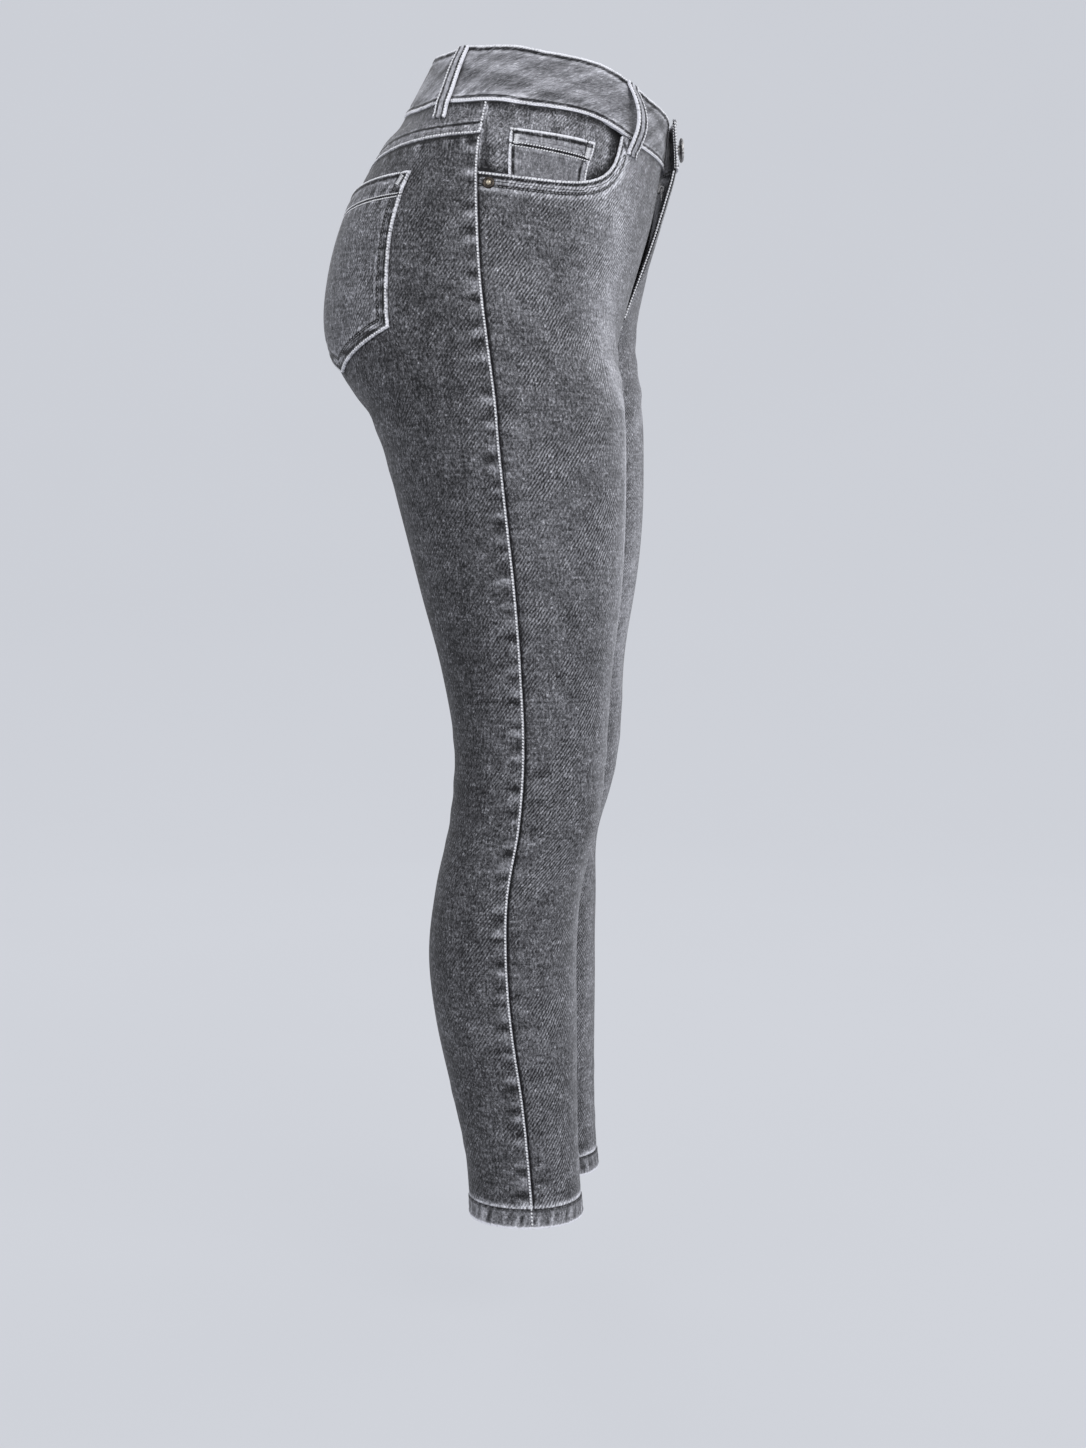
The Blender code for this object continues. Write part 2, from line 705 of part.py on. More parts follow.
def centre_strip(name, arcs, sunk, thickness, finish, parts, rows=10):
    """A strip that runs down inside the fly, across the centre plane. On the wearer's right arcs are below 0."""
    outer, inner = [], []
    for i in range(rows + 1):
        level = mix(ZIP_BOTTOM, ZIP_TOP, i / rows)
        outer.append([surface(LEFT, level, arc, -sunk) for arc in arcs])
        inner.append([surface(LEFT, level, arc, -sunk - thickness) for arc in arcs])
    return wall(name, outer, inner, finish, parts)


def frame_at(level, arc, out):
    """A matrix whose origin lies over the surface on the left: x across, y out and z up the cloth."""
    place = surface(LEFT, level, arc, out)
    outward = (surface(LEFT, level, arc, out + 0.001) - place).normalized()
    up = (surface(LEFT, level + 0.001, arc, out) - surface(LEFT, level - 0.001, arc, out)).normalized()
    across = outward.cross(up).normalized()
    up = across.cross(outward)
    matrix = Matrix((across, outward, up)).transposed().to_4x4()
    matrix.translation = place
    return matrix


def outline_plate(name, outline, thickness, holes, finish, parts, matrix):
    """A flat piece: a 2D curve, extruded, made a mesh with its caps welded, and set in place."""
    curve = bpy.data.curves.new(name, "CURVE")
    curve.dimensions = "2D"
    curve.fill_mode = "BOTH"
    curve.extrude = thickness / 2
    for line in (outline, *holes):
        spline = curve.splines.new("POLY")
        spline.points.add(len(line) - 1)
        spline.use_cyclic_u = True
        for point, (x, y) in zip(spline.points, line):
            point.co = (x, y, 0.0, 1.0)
    flat = bpy.data.objects.new(name + "_outline", curve)
    parts.objects.link(flat)
    bpy.context.view_layer.update()
    mesh = bpy.data.meshes.new_from_object(flat.evaluated_get(bpy.context.evaluated_depsgraph_get()))
    bpy.data.objects.remove(flat)
    shape = bmesh.new()
    shape.from_mesh(mesh)
    bmesh.ops.remove_doubles(shape, verts=shape.verts, dist=1e-6)
    bmesh.ops.recalc_face_normals(shape, faces=shape.faces)
    shape.to_mesh(mesh)
    shape.free()
    made = add(name, mesh, finish, parts)
    made.matrix_world = matrix
    return made


def zip_slider(finish, parts):
    """The slider's body on the chain, with the crown that holds the pull."""
    matrix = frame_at(SLIDER_LEVEL, 0.0, -ZIP_TAPE_SUNK + SEAM_GAP)
    body_top = SLIDER_WALL
    half = SLIDER_LENGTH / 2
    body = [(-half, 0.0), (half, 0.0), (half, body_top * 0.8), (half * 0.8, body_top)]
    crown_top = body_top + CROWN_RISE
    body += [(half * 0.62, body_top), (half * 0.45, crown_top), (-half * 0.45, crown_top)]
    body += [(-half * 0.62, body_top), (-half * 0.8, body_top), (-half, body_top * 0.8)]
    hole_top = crown_top - CROWN_WALL
    hole_half = half * 0.36
    hole = [
        (-hole_half, body_top + 0.0002),
        (hole_half, body_top + 0.0002),
        (hole_half, hole_top),
        (-hole_half, hole_top),
    ]
    side_view = Matrix(((0, 0, 1, 0), (0, 1, 0, 0), (1, 0, 0, 0), (0, 0, 0, 1)))
    made = outline_plate("zip_slider", body, 2 * CROWN_HALF, [hole], finish, parts, matrix @ side_view)
    base = bmesh.new()
    bmesh.ops.create_cube(base, size=1.0)
    bmesh.ops.scale(base, vec=(2 * SLIDER_HALF, body_top * 0.98, SLIDER_LENGTH * 0.97), verts=base.verts)
    bmesh.ops.translate(base, vec=(0.0, body_top * 0.5, 0.0), verts=base.verts)
    bmesh.ops.bevel(base, geom=base.edges[:], offset=0.0006, segments=1, affect="EDGES")
    bmesh.ops.transform(base, matrix=matrix, verts=base.verts)
    mesh = bpy.data.meshes.new("zip_slider_base")
    base.to_mesh(mesh)
    base.free()
    block = bpy.data.objects.new("zip_slider_base", mesh)
    block.hide_render = True
    block.display_type = "WIRE"
    bpy.data.collections["helpers"].objects.link(block)
    join = made.modifiers.new("join", "BOOLEAN")
    join.operation = "UNION"
    join.object = block
    return made


def zip_pull(finish, parts):
    """The pull: a flat tab hanging plumb in front of the chain, its pin through the crown's window."""
    slider = frame_at(SLIDER_LEVEL, 0.0, -ZIP_TAPE_SUNK + SEAM_GAP)
    pivot = slider @ Vector((0.0, SLIDER_WALL + PIN_RISE, PIN_DROP))
    matrix = Matrix.Translation(pivot) @ Matrix.Rotation(math.pi, 4, "Z")
    pin = PIN_WALL / 2
    outline = [(-PULL_HALF, pin), (-PULL_HALF, -PULL_LENGTH + PULL_HALF)]
    for i in range(1, 6):
        angle = math.pi * (1 + i / 6)
        outline.append((PULL_HALF * math.cos(angle), -PULL_LENGTH + PULL_HALF * (1 + math.sin(angle))))
    outline += [(PULL_HALF, -PULL_LENGTH + PULL_HALF), (PULL_HALF, pin)]
    eye_half = CROWN_HALF + 0.0003
    eye = [(-eye_half, -pin), (eye_half, -pin), (eye_half, -EYE_LENGTH), (-eye_half, -EYE_LENGTH)]
    upright = Matrix(((1, 0, 0, 0), (0, 0, -1, 0), (0, 1, 0, 0), (0, 0, 0, 1)))
    return outline_plate("zip_pull", outline, PIN_WALL, [eye], finish, parts, matrix @ upright)


def turned(name, profile, matrix, finish, parts, steps=20):
    """A turned piece: a profile of (radius, height) from the axis out, spun with a Screw modifier."""
    mesh = bpy.data.meshes.new(name)
    points = [(radius, 0.0, height) for radius, height in profile]
    mesh.from_pydata(points, [(i, i + 1) for i in range(len(points) - 1)], [])
    made = add(name, mesh, finish, parts)
    screw = made.modifiers.new("turn", "SCREW")
    screw.steps = screw.render_steps = steps
    screw.use_merge_vertices = True
    screw.merge_threshold = 0.00001
    screw.use_smooth_shade = True
    made.matrix_world = matrix
    return made


def standing_on(side, level, arc, out, rise):
    """A matrix with its z square to the cloth, for a button or a rivet. out gives the cloth's height."""

    def cloth(level, arc):
        return surface(side, level, arc, out(level, arc))

    place = cloth(level, arc)
    across = cloth(level, arc + 0.004) - cloth(level, arc - 0.004)
    up = cloth(level + 0.004, arc) - cloth(level - 0.004, arc)
    outward = across.cross(up).normalized()
    if outward.dot(surface(side, level, arc, 0.01) - surface(side, level, arc)) < 0:
        outward.negate()
    matrix = outward.to_track_quat("Z", "Y").to_matrix().to_4x4()
    matrix.translation = place + outward * rise
    return matrix


def button(finish, parts):
    """The shank button on the left end of the waistband."""
    r = BUTTON_RADIUS
    profile = (
        (0.0, 0.0042),
        (0.45 * r, 0.0042),
        (0.62 * r, 0.0048),
        (0.9 * r, 0.0048),
        (r, 0.0040),
        (r, 0.0030),
        (0.85 * r, 0.0024),
        (0.4 * r, 0.0022),
        (0.4 * r, 0.0),
        (0.0, 0.0),
    )
    matrix = standing_on(LEFT, BUTTON_LEVEL, BUTTON_ARC, tab_lift, BAND_PROUD + SEAM_GAP)
    return turned("button", profile, matrix, finish, parts)


def rivet(side, finish, parts):
    """The rivet at the back end of the pocket mouth."""
    top, _ = mouth_place(1.0)
    level = top - 0.008
    arc = section(level).seam - 0.0085
    r = RIVET_RADIUS
    profile = (
        (0.0, 0.0016),
        (0.3 * r, 0.0016),
        (0.42 * r, 0.0010),
        (0.7 * r, 0.0012),
        (r, 0.0003),
        (r, 0.0),
        (0.0, 0.0),
    )
    name = "rivet_left" if side == LEFT else "rivet_right"
    matrix = standing_on(side, level, arc, lambda level, arc: 0.0, LAYER_GAP / 2)
    return turned(name, profile, matrix, finish, parts, steps=16)


def clear_scene():
    for old in list(bpy.data.objects):
        bpy.data.objects.remove(old)


def main():
    clear_scene()
    parts = bpy.data.collections.new("skinny_jeans")
    helpers = bpy.data.collections.new("helpers")
    for made in (parts, helpers):
        bpy.context.scene.collection.children.link(made)
    denim = material("grey_denim", (0.13, 0.13, 0.145), 0.85)
    pale = material("worn_denim", (0.27, 0.27, 0.29), 0.85)
    metal = material("aged_metal", (0.35, 0.32, 0.29), 0.4, 0.9)
    tape = material("zip_tape", (0.03, 0.03, 0.033), 0.8)
    for side in (RIGHT, LEFT):
        front_panel(side, denim, parts)
        back_pocket(side, back_panel(side, denim, parts), denim, parts)
        yoke(side, denim, parts)
        facing = pocket_facing(side, denim, parts)
        if side == RIGHT:
            coin_pocket(facing, pale, parts)
        hem(side, denim, parts)
        rivet(side, metal, parts)
    waistband(pale, parts)
    for name, side, arc, lean, stand_off in LOOPS:
        belt_loop(name, side, arc, lean, stand_off, pale, parts)
    tape_arcs = (-ZIP_TAPE_HALF, 0.0, ZIP_TAPE_HALF)
    shield_arcs = (-SHIELD_RIGHT, *tape_arcs, mix(ZIP_TAPE_HALF, SHIELD_LEFT, 0.5), SHIELD_LEFT)
    centre_strip("zip_tape", tape_arcs, ZIP_TAPE_SUNK, ZIP_TAPE_WALL, tape, parts)
    centre_strip("fly_shield", shield_arcs, SHIELD_SUNK, SHIELD_WALL, denim, parts)
    zip_slider(metal, parts)
    zip_pull(metal, parts)
    button(metal, parts)


main()
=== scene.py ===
"""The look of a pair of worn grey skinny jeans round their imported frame: cloth, thread, metal and studio.

Axes: +Z up, the front faces -Y, the wearer's right side is at -X. The origin is the middle of the waist
opening. A place on the cloth is a side, a level and an arc, the distance along the ring from the centre
front, as in the part's source, whose numbers the WornShape class repeats. Lengths are in metres.
"""

import logging
import math
from collections.abc import Callable, Sequence
from dataclasses import dataclass, field
from enum import Enum

import bmesh
import bpy
import numpy as np
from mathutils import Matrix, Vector
from mathutils.bvhtree import BVHTree


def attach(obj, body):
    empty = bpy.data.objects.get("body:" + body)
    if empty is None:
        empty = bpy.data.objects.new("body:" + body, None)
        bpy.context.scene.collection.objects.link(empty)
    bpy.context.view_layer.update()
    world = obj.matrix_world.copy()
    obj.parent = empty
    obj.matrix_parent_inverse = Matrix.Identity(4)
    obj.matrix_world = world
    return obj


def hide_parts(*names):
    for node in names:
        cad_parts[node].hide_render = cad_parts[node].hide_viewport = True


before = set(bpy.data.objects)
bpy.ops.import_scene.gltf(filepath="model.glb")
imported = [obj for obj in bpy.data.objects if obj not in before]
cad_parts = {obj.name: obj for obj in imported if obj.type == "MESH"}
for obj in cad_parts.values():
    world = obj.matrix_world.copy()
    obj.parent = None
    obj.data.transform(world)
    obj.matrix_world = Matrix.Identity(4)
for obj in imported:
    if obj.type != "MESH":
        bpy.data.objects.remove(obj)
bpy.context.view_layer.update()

log = logging.getLogger("jeans")

RIGHT, LEFT = -1, 1
SIDES = ((RIGHT, "right"), (LEFT, "left"))
WAIST_TOP, BAND_SEAM, CROTCH = 0.0, -0.0465, -0.27
FLY_END, FLY_FADE, FLY_WIDTH = -0.194, 0.012, 0.045
HEM_SEAM, HEM_END = -0.8825, -0.8975
DENIM, BAND_PROUD, BAND_WALL = 0.0012, 0.0006, 0.0026
SEAM_GAP, WAIST_GAP, LAY_GAP = 0.0003, 0.0005, 0.0005
MOUTH_WIDTH, MOUTH_DEPTH, MOUTH_SQUARENESS = 0.116, 0.055, 3.2
FACING_WALL, FACING_SUNK, FACING_SUNK_AT_SEAM, FACING_MARGIN = 0.0010, 0.0038, 0.0022, 0.012
COIN_POCKET = ((0.0235, -0.1065), (0.0865, -0.1052), (0.0880, -0.0650), (0.0210, -0.0668))
YOKE_AT_SIDE, YOKE_AT_CENTRE = 0.027, 0.058
BACK_POCKET = ((0.066, -0.220), (0.132, -0.242), (0.197, -0.215), (0.1725, -0.105), (0.030, -0.117))
POCKET_WALL = 0.0012
FLAP_OVER, RIGHT_SHORT, TAB_WIDTH, UNDERLAP = 0.0035, 0.0045, 0.066, 0.033
FLY_LIFTS = (
    (-0.0465, 0.0120),
    (-0.060, 0.0110),
    (-0.075, 0.0092),
    (-0.095, 0.0074),
    (-0.135, 0.0058),
    (-0.194, 0.0028),
)
TAB_LIFTS = ((0.0, 0.0060), (-0.0465, 0.0125))
ZIP_TAPE_HALF, ZIP_TAPE_WALL, ZIP_TAPE_SUNK = 0.011, 0.0006, 0.0021
ZIP_TOP, ZIP_BOTTOM = -0.050, -0.183
SHIELD_SUNK, SHIELD_WALL, SHIELD_RIGHT, SHIELD_LEFT = 0.0030, 0.0010, 0.020, 0.032
LOOP_HALF, LOOP_WALL, LOOP_FOOT, LOOP_TOP = 0.006, 0.0015, BAND_SEAM - 0.014, WAIST_TOP - 0.001
MOUTH_TOP, SIDE_SEAM_TOP = BAND_SEAM - WAIST_GAP, -0.102
# PAINTED_EDGE_SHADE is how much painted shadow darkens the cloth beside the lapped edge at the side seam and
# along the fronts' edges at the fly
HOLD, PAINTED_EDGE_SHADE, EDGE_IN, SHARP = 0.012, 0.42, 0.0011, math.radians(50)

Grid = np.ndarray


def ease(t: Grid | float) -> Grid:
    """0 below 0, 1 above 1, and a smooth step between."""
    t = np.clip(t, 0.0, 1.0)
    return t * t * (3 - 2 * t)


def mix(a: Grid | float, b: Grid | float, t: Grid | float) -> Grid:
    """The value a share t of the way from a to b."""
    return a + (b - a) * t


def hill(x: Grid | float, middle: float, reach: float) -> Grid:
    """A smooth hill: 1 at the middle and 0 beyond its reach on either side."""
    return ease(1 - np.abs((x - middle) / reach))


def falling(away: Grid | float, reach: float) -> Grid:
    """1 where away is 0 or less, falling smoothly to 0 at its reach."""
    return 1 - ease(away / reach)


def table_at(table: Sequence[tuple[float, float]], level: Grid) -> Grid:
    """The value that (level, value) rows, from the top down, have at each level."""
    rows = np.array(table)[::-1]
    return np.interp(level, rows[:, 0], rows[:, 1])


def unit(vectors: Grid) -> Grid:
    """The vectors at length 1."""
    return vectors / np.maximum(np.linalg.norm(vectors, axis=1, keepdims=True), 1e-12)


def sided(part: str, side: int) -> str:
    """The name of a piece of cloth that there is one of on each side."""
    return f"{part}_{dict(SIDES)[side]}_cloth"


def placed(name: str, data: bpy.types.ID) -> bpy.types.Object:
    """A new object in the scene, with this mesh, light or camera."""
    made = bpy.data.objects.new(name, data)
    bpy.context.scene.collection.objects.link(made)
    return made


def crowded(count: int, crowd: float = 0.5) -> Grid:
    """Shares from 0 to 1 that lie closer together near both ends.

    Args:
        count: how many steps there are.
        crowd: 0 for even steps, towards 1 for steps that shrink to nothing at the ends.

    Returns:
        count + 1 shares.
    """
    t = np.linspace(0.0, 1.0, count + 1)
    return t - crowd * np.sin(2 * np.pi * t) / (2 * np.pi)


class WornShape:
    """The one surface that every piece of cloth lies on, as rings at any level from the waist to the hem."""

    NAMES = ("slope", "outer", "inner", "front_crown", "back_crown", "front", "back", "middle", "seam")
    SECTIONS = (
        (0.0000, 0.265, 0.1360, -0.1360, 0.0000, 0.0000, -0.0980, 0.0890, 0.0000, 0.018),
        (-0.0465, 0.200, 0.1500, -0.1500, 0.0000, 0.0000, -0.0935, 0.1135, 0.0120, 0.026),
        (-0.0900, 0.140, 0.1620, -0.1220, 0.0150, 0.0100, -0.0875, 0.1385, 0.0260, 0.031),
        (-0.1350, 0.100, 0.1700, -0.0900, 0.0340, 0.0250, -0.0785, 0.1600, 0.0360, 0.030),
        (-0.1800, 0.060, 0.1740, -0.0720, 0.0480, 0.0350, -0.0680, 0.1705, 0.0400, 0.027),
        (-0.2150, 0.030, 0.1745, -0.0440, 0.0620, 0.0580, -0.0625, 0.1665, 0.0400, 0.023),
        (-0.2450, 0.010, 0.1740, -0.0190, 0.0760, 0.0800, -0.0670, 0.1485, 0.0360, 0.019),
        (-0.2700, 0.000, 0.1725, 0.0003, 0.0864, 0.0864, -0.0705, 0.1285, 0.0290, 0.016),
        (-0.3000, 0.000, 0.1690, 0.0040, 0.0865, 0.0865, -0.0715, 0.1165, 0.0230, 0.014),
        (-0.3500, 0.000, 0.1600, 0.0100, 0.0850, 0.0850, -0.0710, 0.1030, 0.0165, 0.010),
        (-0.4100, 0.000, 0.1495, 0.0150, 0.0822, 0.0822, -0.0675, 0.0880, 0.0110, 0.005),
        (-0.4700, 0.000, 0.1390, 0.0190, 0.0790, 0.0790, -0.0600, 0.0725, 0.0070, 0.002),
        (-0.5300, 0.000, 0.1300, 0.0200, 0.0750, 0.0750, -0.0540, 0.0635, 0.0050, 0.001),
        (-0.5850, 0.000, 0.1265, 0.0190, 0.0728, 0.0728, -0.0450, 0.0670, 0.0110, 0.005),
        (-0.6400, 0.000, 0.1270, 0.0165, 0.0718, 0.0718, -0.0345, 0.0785, 0.0220, 0.014),
        (-0.6900, 0.000, 0.1255, 0.0160, 0.0708, 0.0708, -0.0312, 0.0842, 0.0270, 0.015),
        (-0.7400, 0.000, 0.1200, 0.0170, 0.0685, 0.0685, -0.0312, 0.0797, 0.0250, 0.012),
        (-0.8000, 0.000, 0.1105, 0.0185, 0.0645, 0.0645, -0.0310, 0.0675, 0.0190, 0.005),
        (-0.8500, 0.000, 0.1035, 0.0195, 0.0615, 0.0615, -0.0318, 0.0572, 0.0135, 0.001),
        (-0.8975, 0.000, 0.1000, 0.0190, 0.0595, 0.0595, -0.0345, 0.0535, 0.0100, -0.002),
    )
    WAVE = (
        (0.00, 0.0),
        (0.17, -0.0015),
        (0.34, 0.0050),
        (0.50, 0.0),
        (0.62, -0.0050),
        (0.73, -0.0095),
        (0.90, -0.0065),
        (1.00, -0.0055),
    )
    WAVE_ENDS = (-0.052, -0.078)
    ROUNDNESS = 2.12
    RING_POINTS = 289
    BATCH = 6000
    PROBE, STEP_BELOW_CROTCH, STEP_ABOVE = 0.0015, 0.0004, 0.0006
    CENTRE_FADE = 0.02

    def __init__(self) -> None:
        """Works out how steeply each column of the table changes."""
        self.rows = np.array(self.SECTIONS)
        row = np.arange(len(self.rows))
        high, low = np.maximum(row - 1, 0), np.minimum(row + 1, len(row) - 1)
        drop = self.rows[high, 0] - self.rows[low, 0]
        self.steepness = (self.rows[high] - self.rows[low]) / drop[:, None]

    def columns(self, level: Grid) -> dict[str, Grid]:
        """Every column of the table at each level, on a smooth curve through its rows."""
        rows = self.rows
        level = np.clip(level, rows[-1, 0], rows[0, 0])
        i = np.clip(np.searchsorted(-rows[:, 0], -level, side="right") - 1, 0, len(rows) - 2)
        span = (rows[i, 0] - rows[i + 1, 0])[:, None]
        t = (rows[i, 0] - level)[:, None] / span
        into, out = -self.steepness[i] * span, -self.steepness[i + 1] * span
        made = (
            (2 * t**3 - 3 * t**2 + 1) * rows[i]
            + (t**3 - 2 * t**2 + t) * into
            + (3 * t**2 - 2 * t**3) * rows[i + 1]
            + (t**3 - t**2) * out
        )
        return {name: made[:, k + 1] for k, name in enumerate(self.NAMES)}

    def rings(self, level: Grid) -> "Rings":
        """The rings on the left side at each of these levels."""
        return Rings(self, np.asarray(level, float))

    def seam(self, level: Grid) -> Grid:
        """The arc at which the side seam crosses each level."""
        flat = np.asarray(level, float)
        rings = self.rings(flat.ravel())
        return rings.seam[rings.which].reshape(flat.shape)

    def length(self, level: Grid) -> Grid:
        """The length of half a ring at each level."""
        flat = np.asarray(level, float)
        rings = self.rings(flat.ravel())
        return rings.length[rings.which].reshape(flat.shape)

    def surface(self, side: int, level: Grid, arc: Grid, out: Grid | float = 0.0) -> Grid:
        """Points of the worn shape, moved out along its normal.

        Args:
            side: RIGHT or LEFT.
            level: heights of the rings, where y is 0.
            arc: distances along the rings from the centre front, below 0 past the centre.
            out: how far over the surface each point lies.

        Returns:
            The points, as an array with one axis more than level has.
        """
        places = np.broadcast_arrays(*(np.asarray(v, float) for v in (level, arc, out)))
        batches = zip(*(np.array_split(v.ravel(), v.size // self.BATCH + 1) for v in places))
        points = np.vstack([self._surface(*batch) for batch in batches]) * (side, 1, 1)
        return points.reshape(*places[0].shape, 3)

    def outward(self, side: int, level: Grid, arc: Grid, out: Grid | float = 0.0) -> tuple[Grid, Grid]:
        """The points of surface(), and the direction straight away from the cloth at each."""
        base, above = (self.surface(side, level, arc, out + more) for more in (0.0, 0.001))
        return base, unit(above - base)

    def _surface(self, level: Grid, arc: Grid, out: Grid) -> Grid:
        """The points of surface() on the left side, for one batch of places."""
        here = self.rings(level)
        place, far = here.place(arc), here.length[here.which]
        lowest = np.where(level < CROTCH, 0.0, -far)
        ahead, behind = np.minimum(far, arc + self.PROBE), np.maximum(lowest, arc - self.PROBE)
        step = np.where(level < CROTCH, self.STEP_BELOW_CROTCH, self.STEP_ABOVE)
        above, below = (self.rings(np.clip(level + s, HEM_END, WAIST_TOP)) for s in (step, -step))
        high, low = (ring.place(arc * ring.length[ring.which] / far) for ring in (above, below))
        normal = unit(np.cross(here.place(ahead) - here.place(behind), high - low))
        core = np.stack([here.at["front_crown"][here.which], here.at["middle"][here.which], place[:, 2]], 1)
        normal *= np.where(((place - core) * normal).sum(1) < 0, -1.0, 1.0)[:, None]
        central = (arc < 0.5 * here.seam[here.which]) & (level > FLY_END)
        normal[:, 0] *= np.where(central, ease(np.abs(place[:, 0]) / self.CENTRE_FADE), 1.0)
        made = place + unit(normal) * out[:, None]
        kept = (level > CROTCH) & (arc >= 0)
        made[:, 0] = np.where(kept, np.maximum(made[:, 0], SEAM_GAP / 2), made[:, 0])
        return made


class Rings:
    """The rings of a batch of levels, each kept once, with which of them every place of the batch lies on."""

    def __init__(self, shape: WornShape, level: Grid) -> None:
        """Makes the rings' points and arcs.

        Args:
            shape: the worn shape that they belong to.
            level: the level of every place in the batch.
        """
        self.level, self.which = np.unique(level, return_inverse=True)
        self.shape = shape
        self.at = shape.columns(self.level)
        front, back = self._clip("front_crown"), self._clip("back_crown")
        t = np.linspace(0.0, 1.0, shape.RING_POINTS)[None, :]
        angle = mix(front[:, None], (2 * np.pi - back)[:, None], t)
        at = {name: value[:, None] for name, value in self.at.items()}
        c, s = np.cos(angle), np.sin(angle)
        ahead = s >= 0
        crown = np.where(ahead, at["front_crown"], at["back_crown"])
        width = np.where(c >= 0, crown - at["inner"], at["outer"] - crown)
        depth = at["middle"] - np.where(ahead, at["front"], at["back"])
        power = 2 / shape.ROUNDNESS
        self.x = crown - np.sign(c) * np.abs(c) ** power * width
        self.y = at["middle"] - np.abs(s) ** power * depth
        steps = np.hypot(np.diff(self.x, axis=1), np.diff(self.y, axis=1))
        self.arcs = np.hstack([np.zeros((len(self.level), 1)), np.cumsum(steps, axis=1)])
        self.length = self.arcs[:, -1]
        outside = self.x > 0.7 * at["outer"]
        low, high = self.y[:, :-1], self.y[:, 1:]
        crosses = outside[:, :-1] & outside[:, 1:] & (low <= at["seam"]) & (high >= at["seam"])
        k, row = crosses.argmax(axis=1), np.arange(len(self.level))
        t = (self.at["seam"] - low[row, k]) / np.maximum(high[row, k] - low[row, k], 1e-9)
        self.seam = mix(self.arcs[row, k], self.arcs[row, k + 1], t)

    def _clip(self, crown_name: str) -> Grid:
        """The angle at which each ring leaves the centre plane, or 0 below the crotch."""
        edge, inner, crown = SEAM_GAP / 2, self.at["inner"], self.at[crown_name]
        share = np.clip((crown - edge) / (crown - inner), 0.0, 1.0) ** (self.shape.ROUNDNESS / 2)
        return np.where(inner >= edge, 0.0, np.arccos(share))

    def place(self, arc: Grid) -> Grid:
        """The point at each arc. Past the centre plane it runs on to the other side."""
        w = self.which
        over = (arc < 0) & (self.at["inner"][w] < 0)
        sign = np.where(over, -1.0, 1.0)
        arc = np.clip(np.where(over, -arc, arc), 0.0, self.length[w])
        lift = 10.0 * np.arange(len(self.level))
        spots = np.searchsorted((self.arcs + lift[:, None]).ravel(), arc + lift[w], side="right") - 1
        k = np.clip(spots - w * self.arcs.shape[1], 0, self.arcs.shape[1] - 2)
        t = (arc - self.arcs[w, k]) / np.maximum(self.arcs[w, k + 1] - self.arcs[w, k], 1e-12)
        x, y = mix(self.x[w, k], self.x[w, k + 1], t), mix(self.y[w, k], self.y[w, k + 1], t)
        z = self.level[w] + self.at["slope"][w] * y + self._wave(arc / self.length[w])
        return np.stack([sign * x, y, z], 1)

    def _wave(self, share: Grid) -> Grid:
        """How far a place lies over its ring's plane. It fades out below the waistband."""
        table = np.array(self.shape.WAVE)
        i = np.clip(np.searchsorted(table[:, 0], share, side="left") - 1, 0, len(table) - 2)
        t = ease((share - table[i, 0]) / (table[i + 1, 0] - table[i, 0]))
        top, bottom = self.shape.WAVE_ENDS
        fade = ease((self.level[self.which] - bottom) / (top - bottom))
        return mix(table[i, 1], table[i + 1, 1], t) * fade


SHAPE = WornShape()


def from_seam(level: Grid, share: Grid, reach: Callable[[Grid], Grid]) -> Grid:
    """How far from the side seam a column of a leg panel lies, steady through the crotch.

    Args:
        level: heights of the rings.
        share: 0 at the side seam and 1 at the panel's inner edge.
        reach: gives the panel's whole width at a level.

    Returns:
        The distances along the rings.
    """
    width, widest = reach(level), reach(np.array([CROTCH]))[0]
    steady = mix(width, widest, ease((-0.170 - level) / (-0.170 - CROTCH)))
    upper = np.where(share <= 0.75, steady * share, mix(steady * 0.75, width, (share - 0.75) / 0.25))
    return np.where(level <= CROTCH, width * share, upper)


def front_reach(level: Grid) -> Grid:
    """How wide a front panel is at each level."""
    return SHAPE.seam(level)


def back_reach(level: Grid) -> Grid:
    """How wide a back panel is at each level."""
    return SHAPE.length(level) - SHAPE.seam(level)


def inseam_inset(level: Grid) -> Grid:
    """How far a panel's edge stops short of the inseam, which begins at the crotch."""
    return np.where(level < CROTCH + 1e-6, SEAM_GAP / 2, 0.0)


def mouth_curve(share: Grid) -> tuple[Grid, Grid]:
    """The pocket mouth's edge.

    Args:
        share: 0 at its front end at the waistband, 1 at the side seam.

    Returns:
        The level of each place, and its distance forward from the side seam.
    """
    angle = np.linspace(0.0, np.pi / 2, 241)
    power = 2 / MOUTH_SQUARENESS
    depth = MOUTH_DEPTH * np.sin(angle) ** power
    back = MOUTH_WIDTH * np.clip(np.cos(angle), 0.0, 1.0) ** power
    run = np.hstack([0.0, np.cumsum(np.hypot(np.diff(depth), np.diff(back)))])
    spot = np.asarray(share) * run[-1]
    return MOUTH_TOP - np.interp(spot, run, depth), np.interp(spot, run, back)


def mouth_level(forward: Grid) -> Grid:
    """The level of the pocket mouth's edge at a distance forward from the side seam."""
    share = np.clip(forward / MOUTH_WIDTH, 0.0, 1.0)
    return MOUTH_TOP - MOUTH_DEPTH * (1 - share**MOUTH_SQUARENESS) ** (1 / MOUTH_SQUARENESS)


def yoke_level(share: Grid) -> Grid:
    """The level of the yoke seam. 0 is the side seam and 1 the centre back."""
    return BAND_SEAM - mix(YOKE_AT_SIDE, YOKE_AT_CENTRE, share)


def fly_lift(level: Grid, arc: Grid) -> Grid:
    """How far the left front stands off over the zip."""
    fade = ease((level - FLY_END + FLY_FADE) / FLY_FADE) * falling(arc, FLY_WIDTH)
    return table_at(FLY_LIFTS, level) * fade


def fold_depth(lift: Grid) -> Grid:
    """How much thicker than one layer the fly's folded edge is where it stands off this far."""
    return np.clip(lift - DENIM - 0.0022, 0.0, 0.0024)


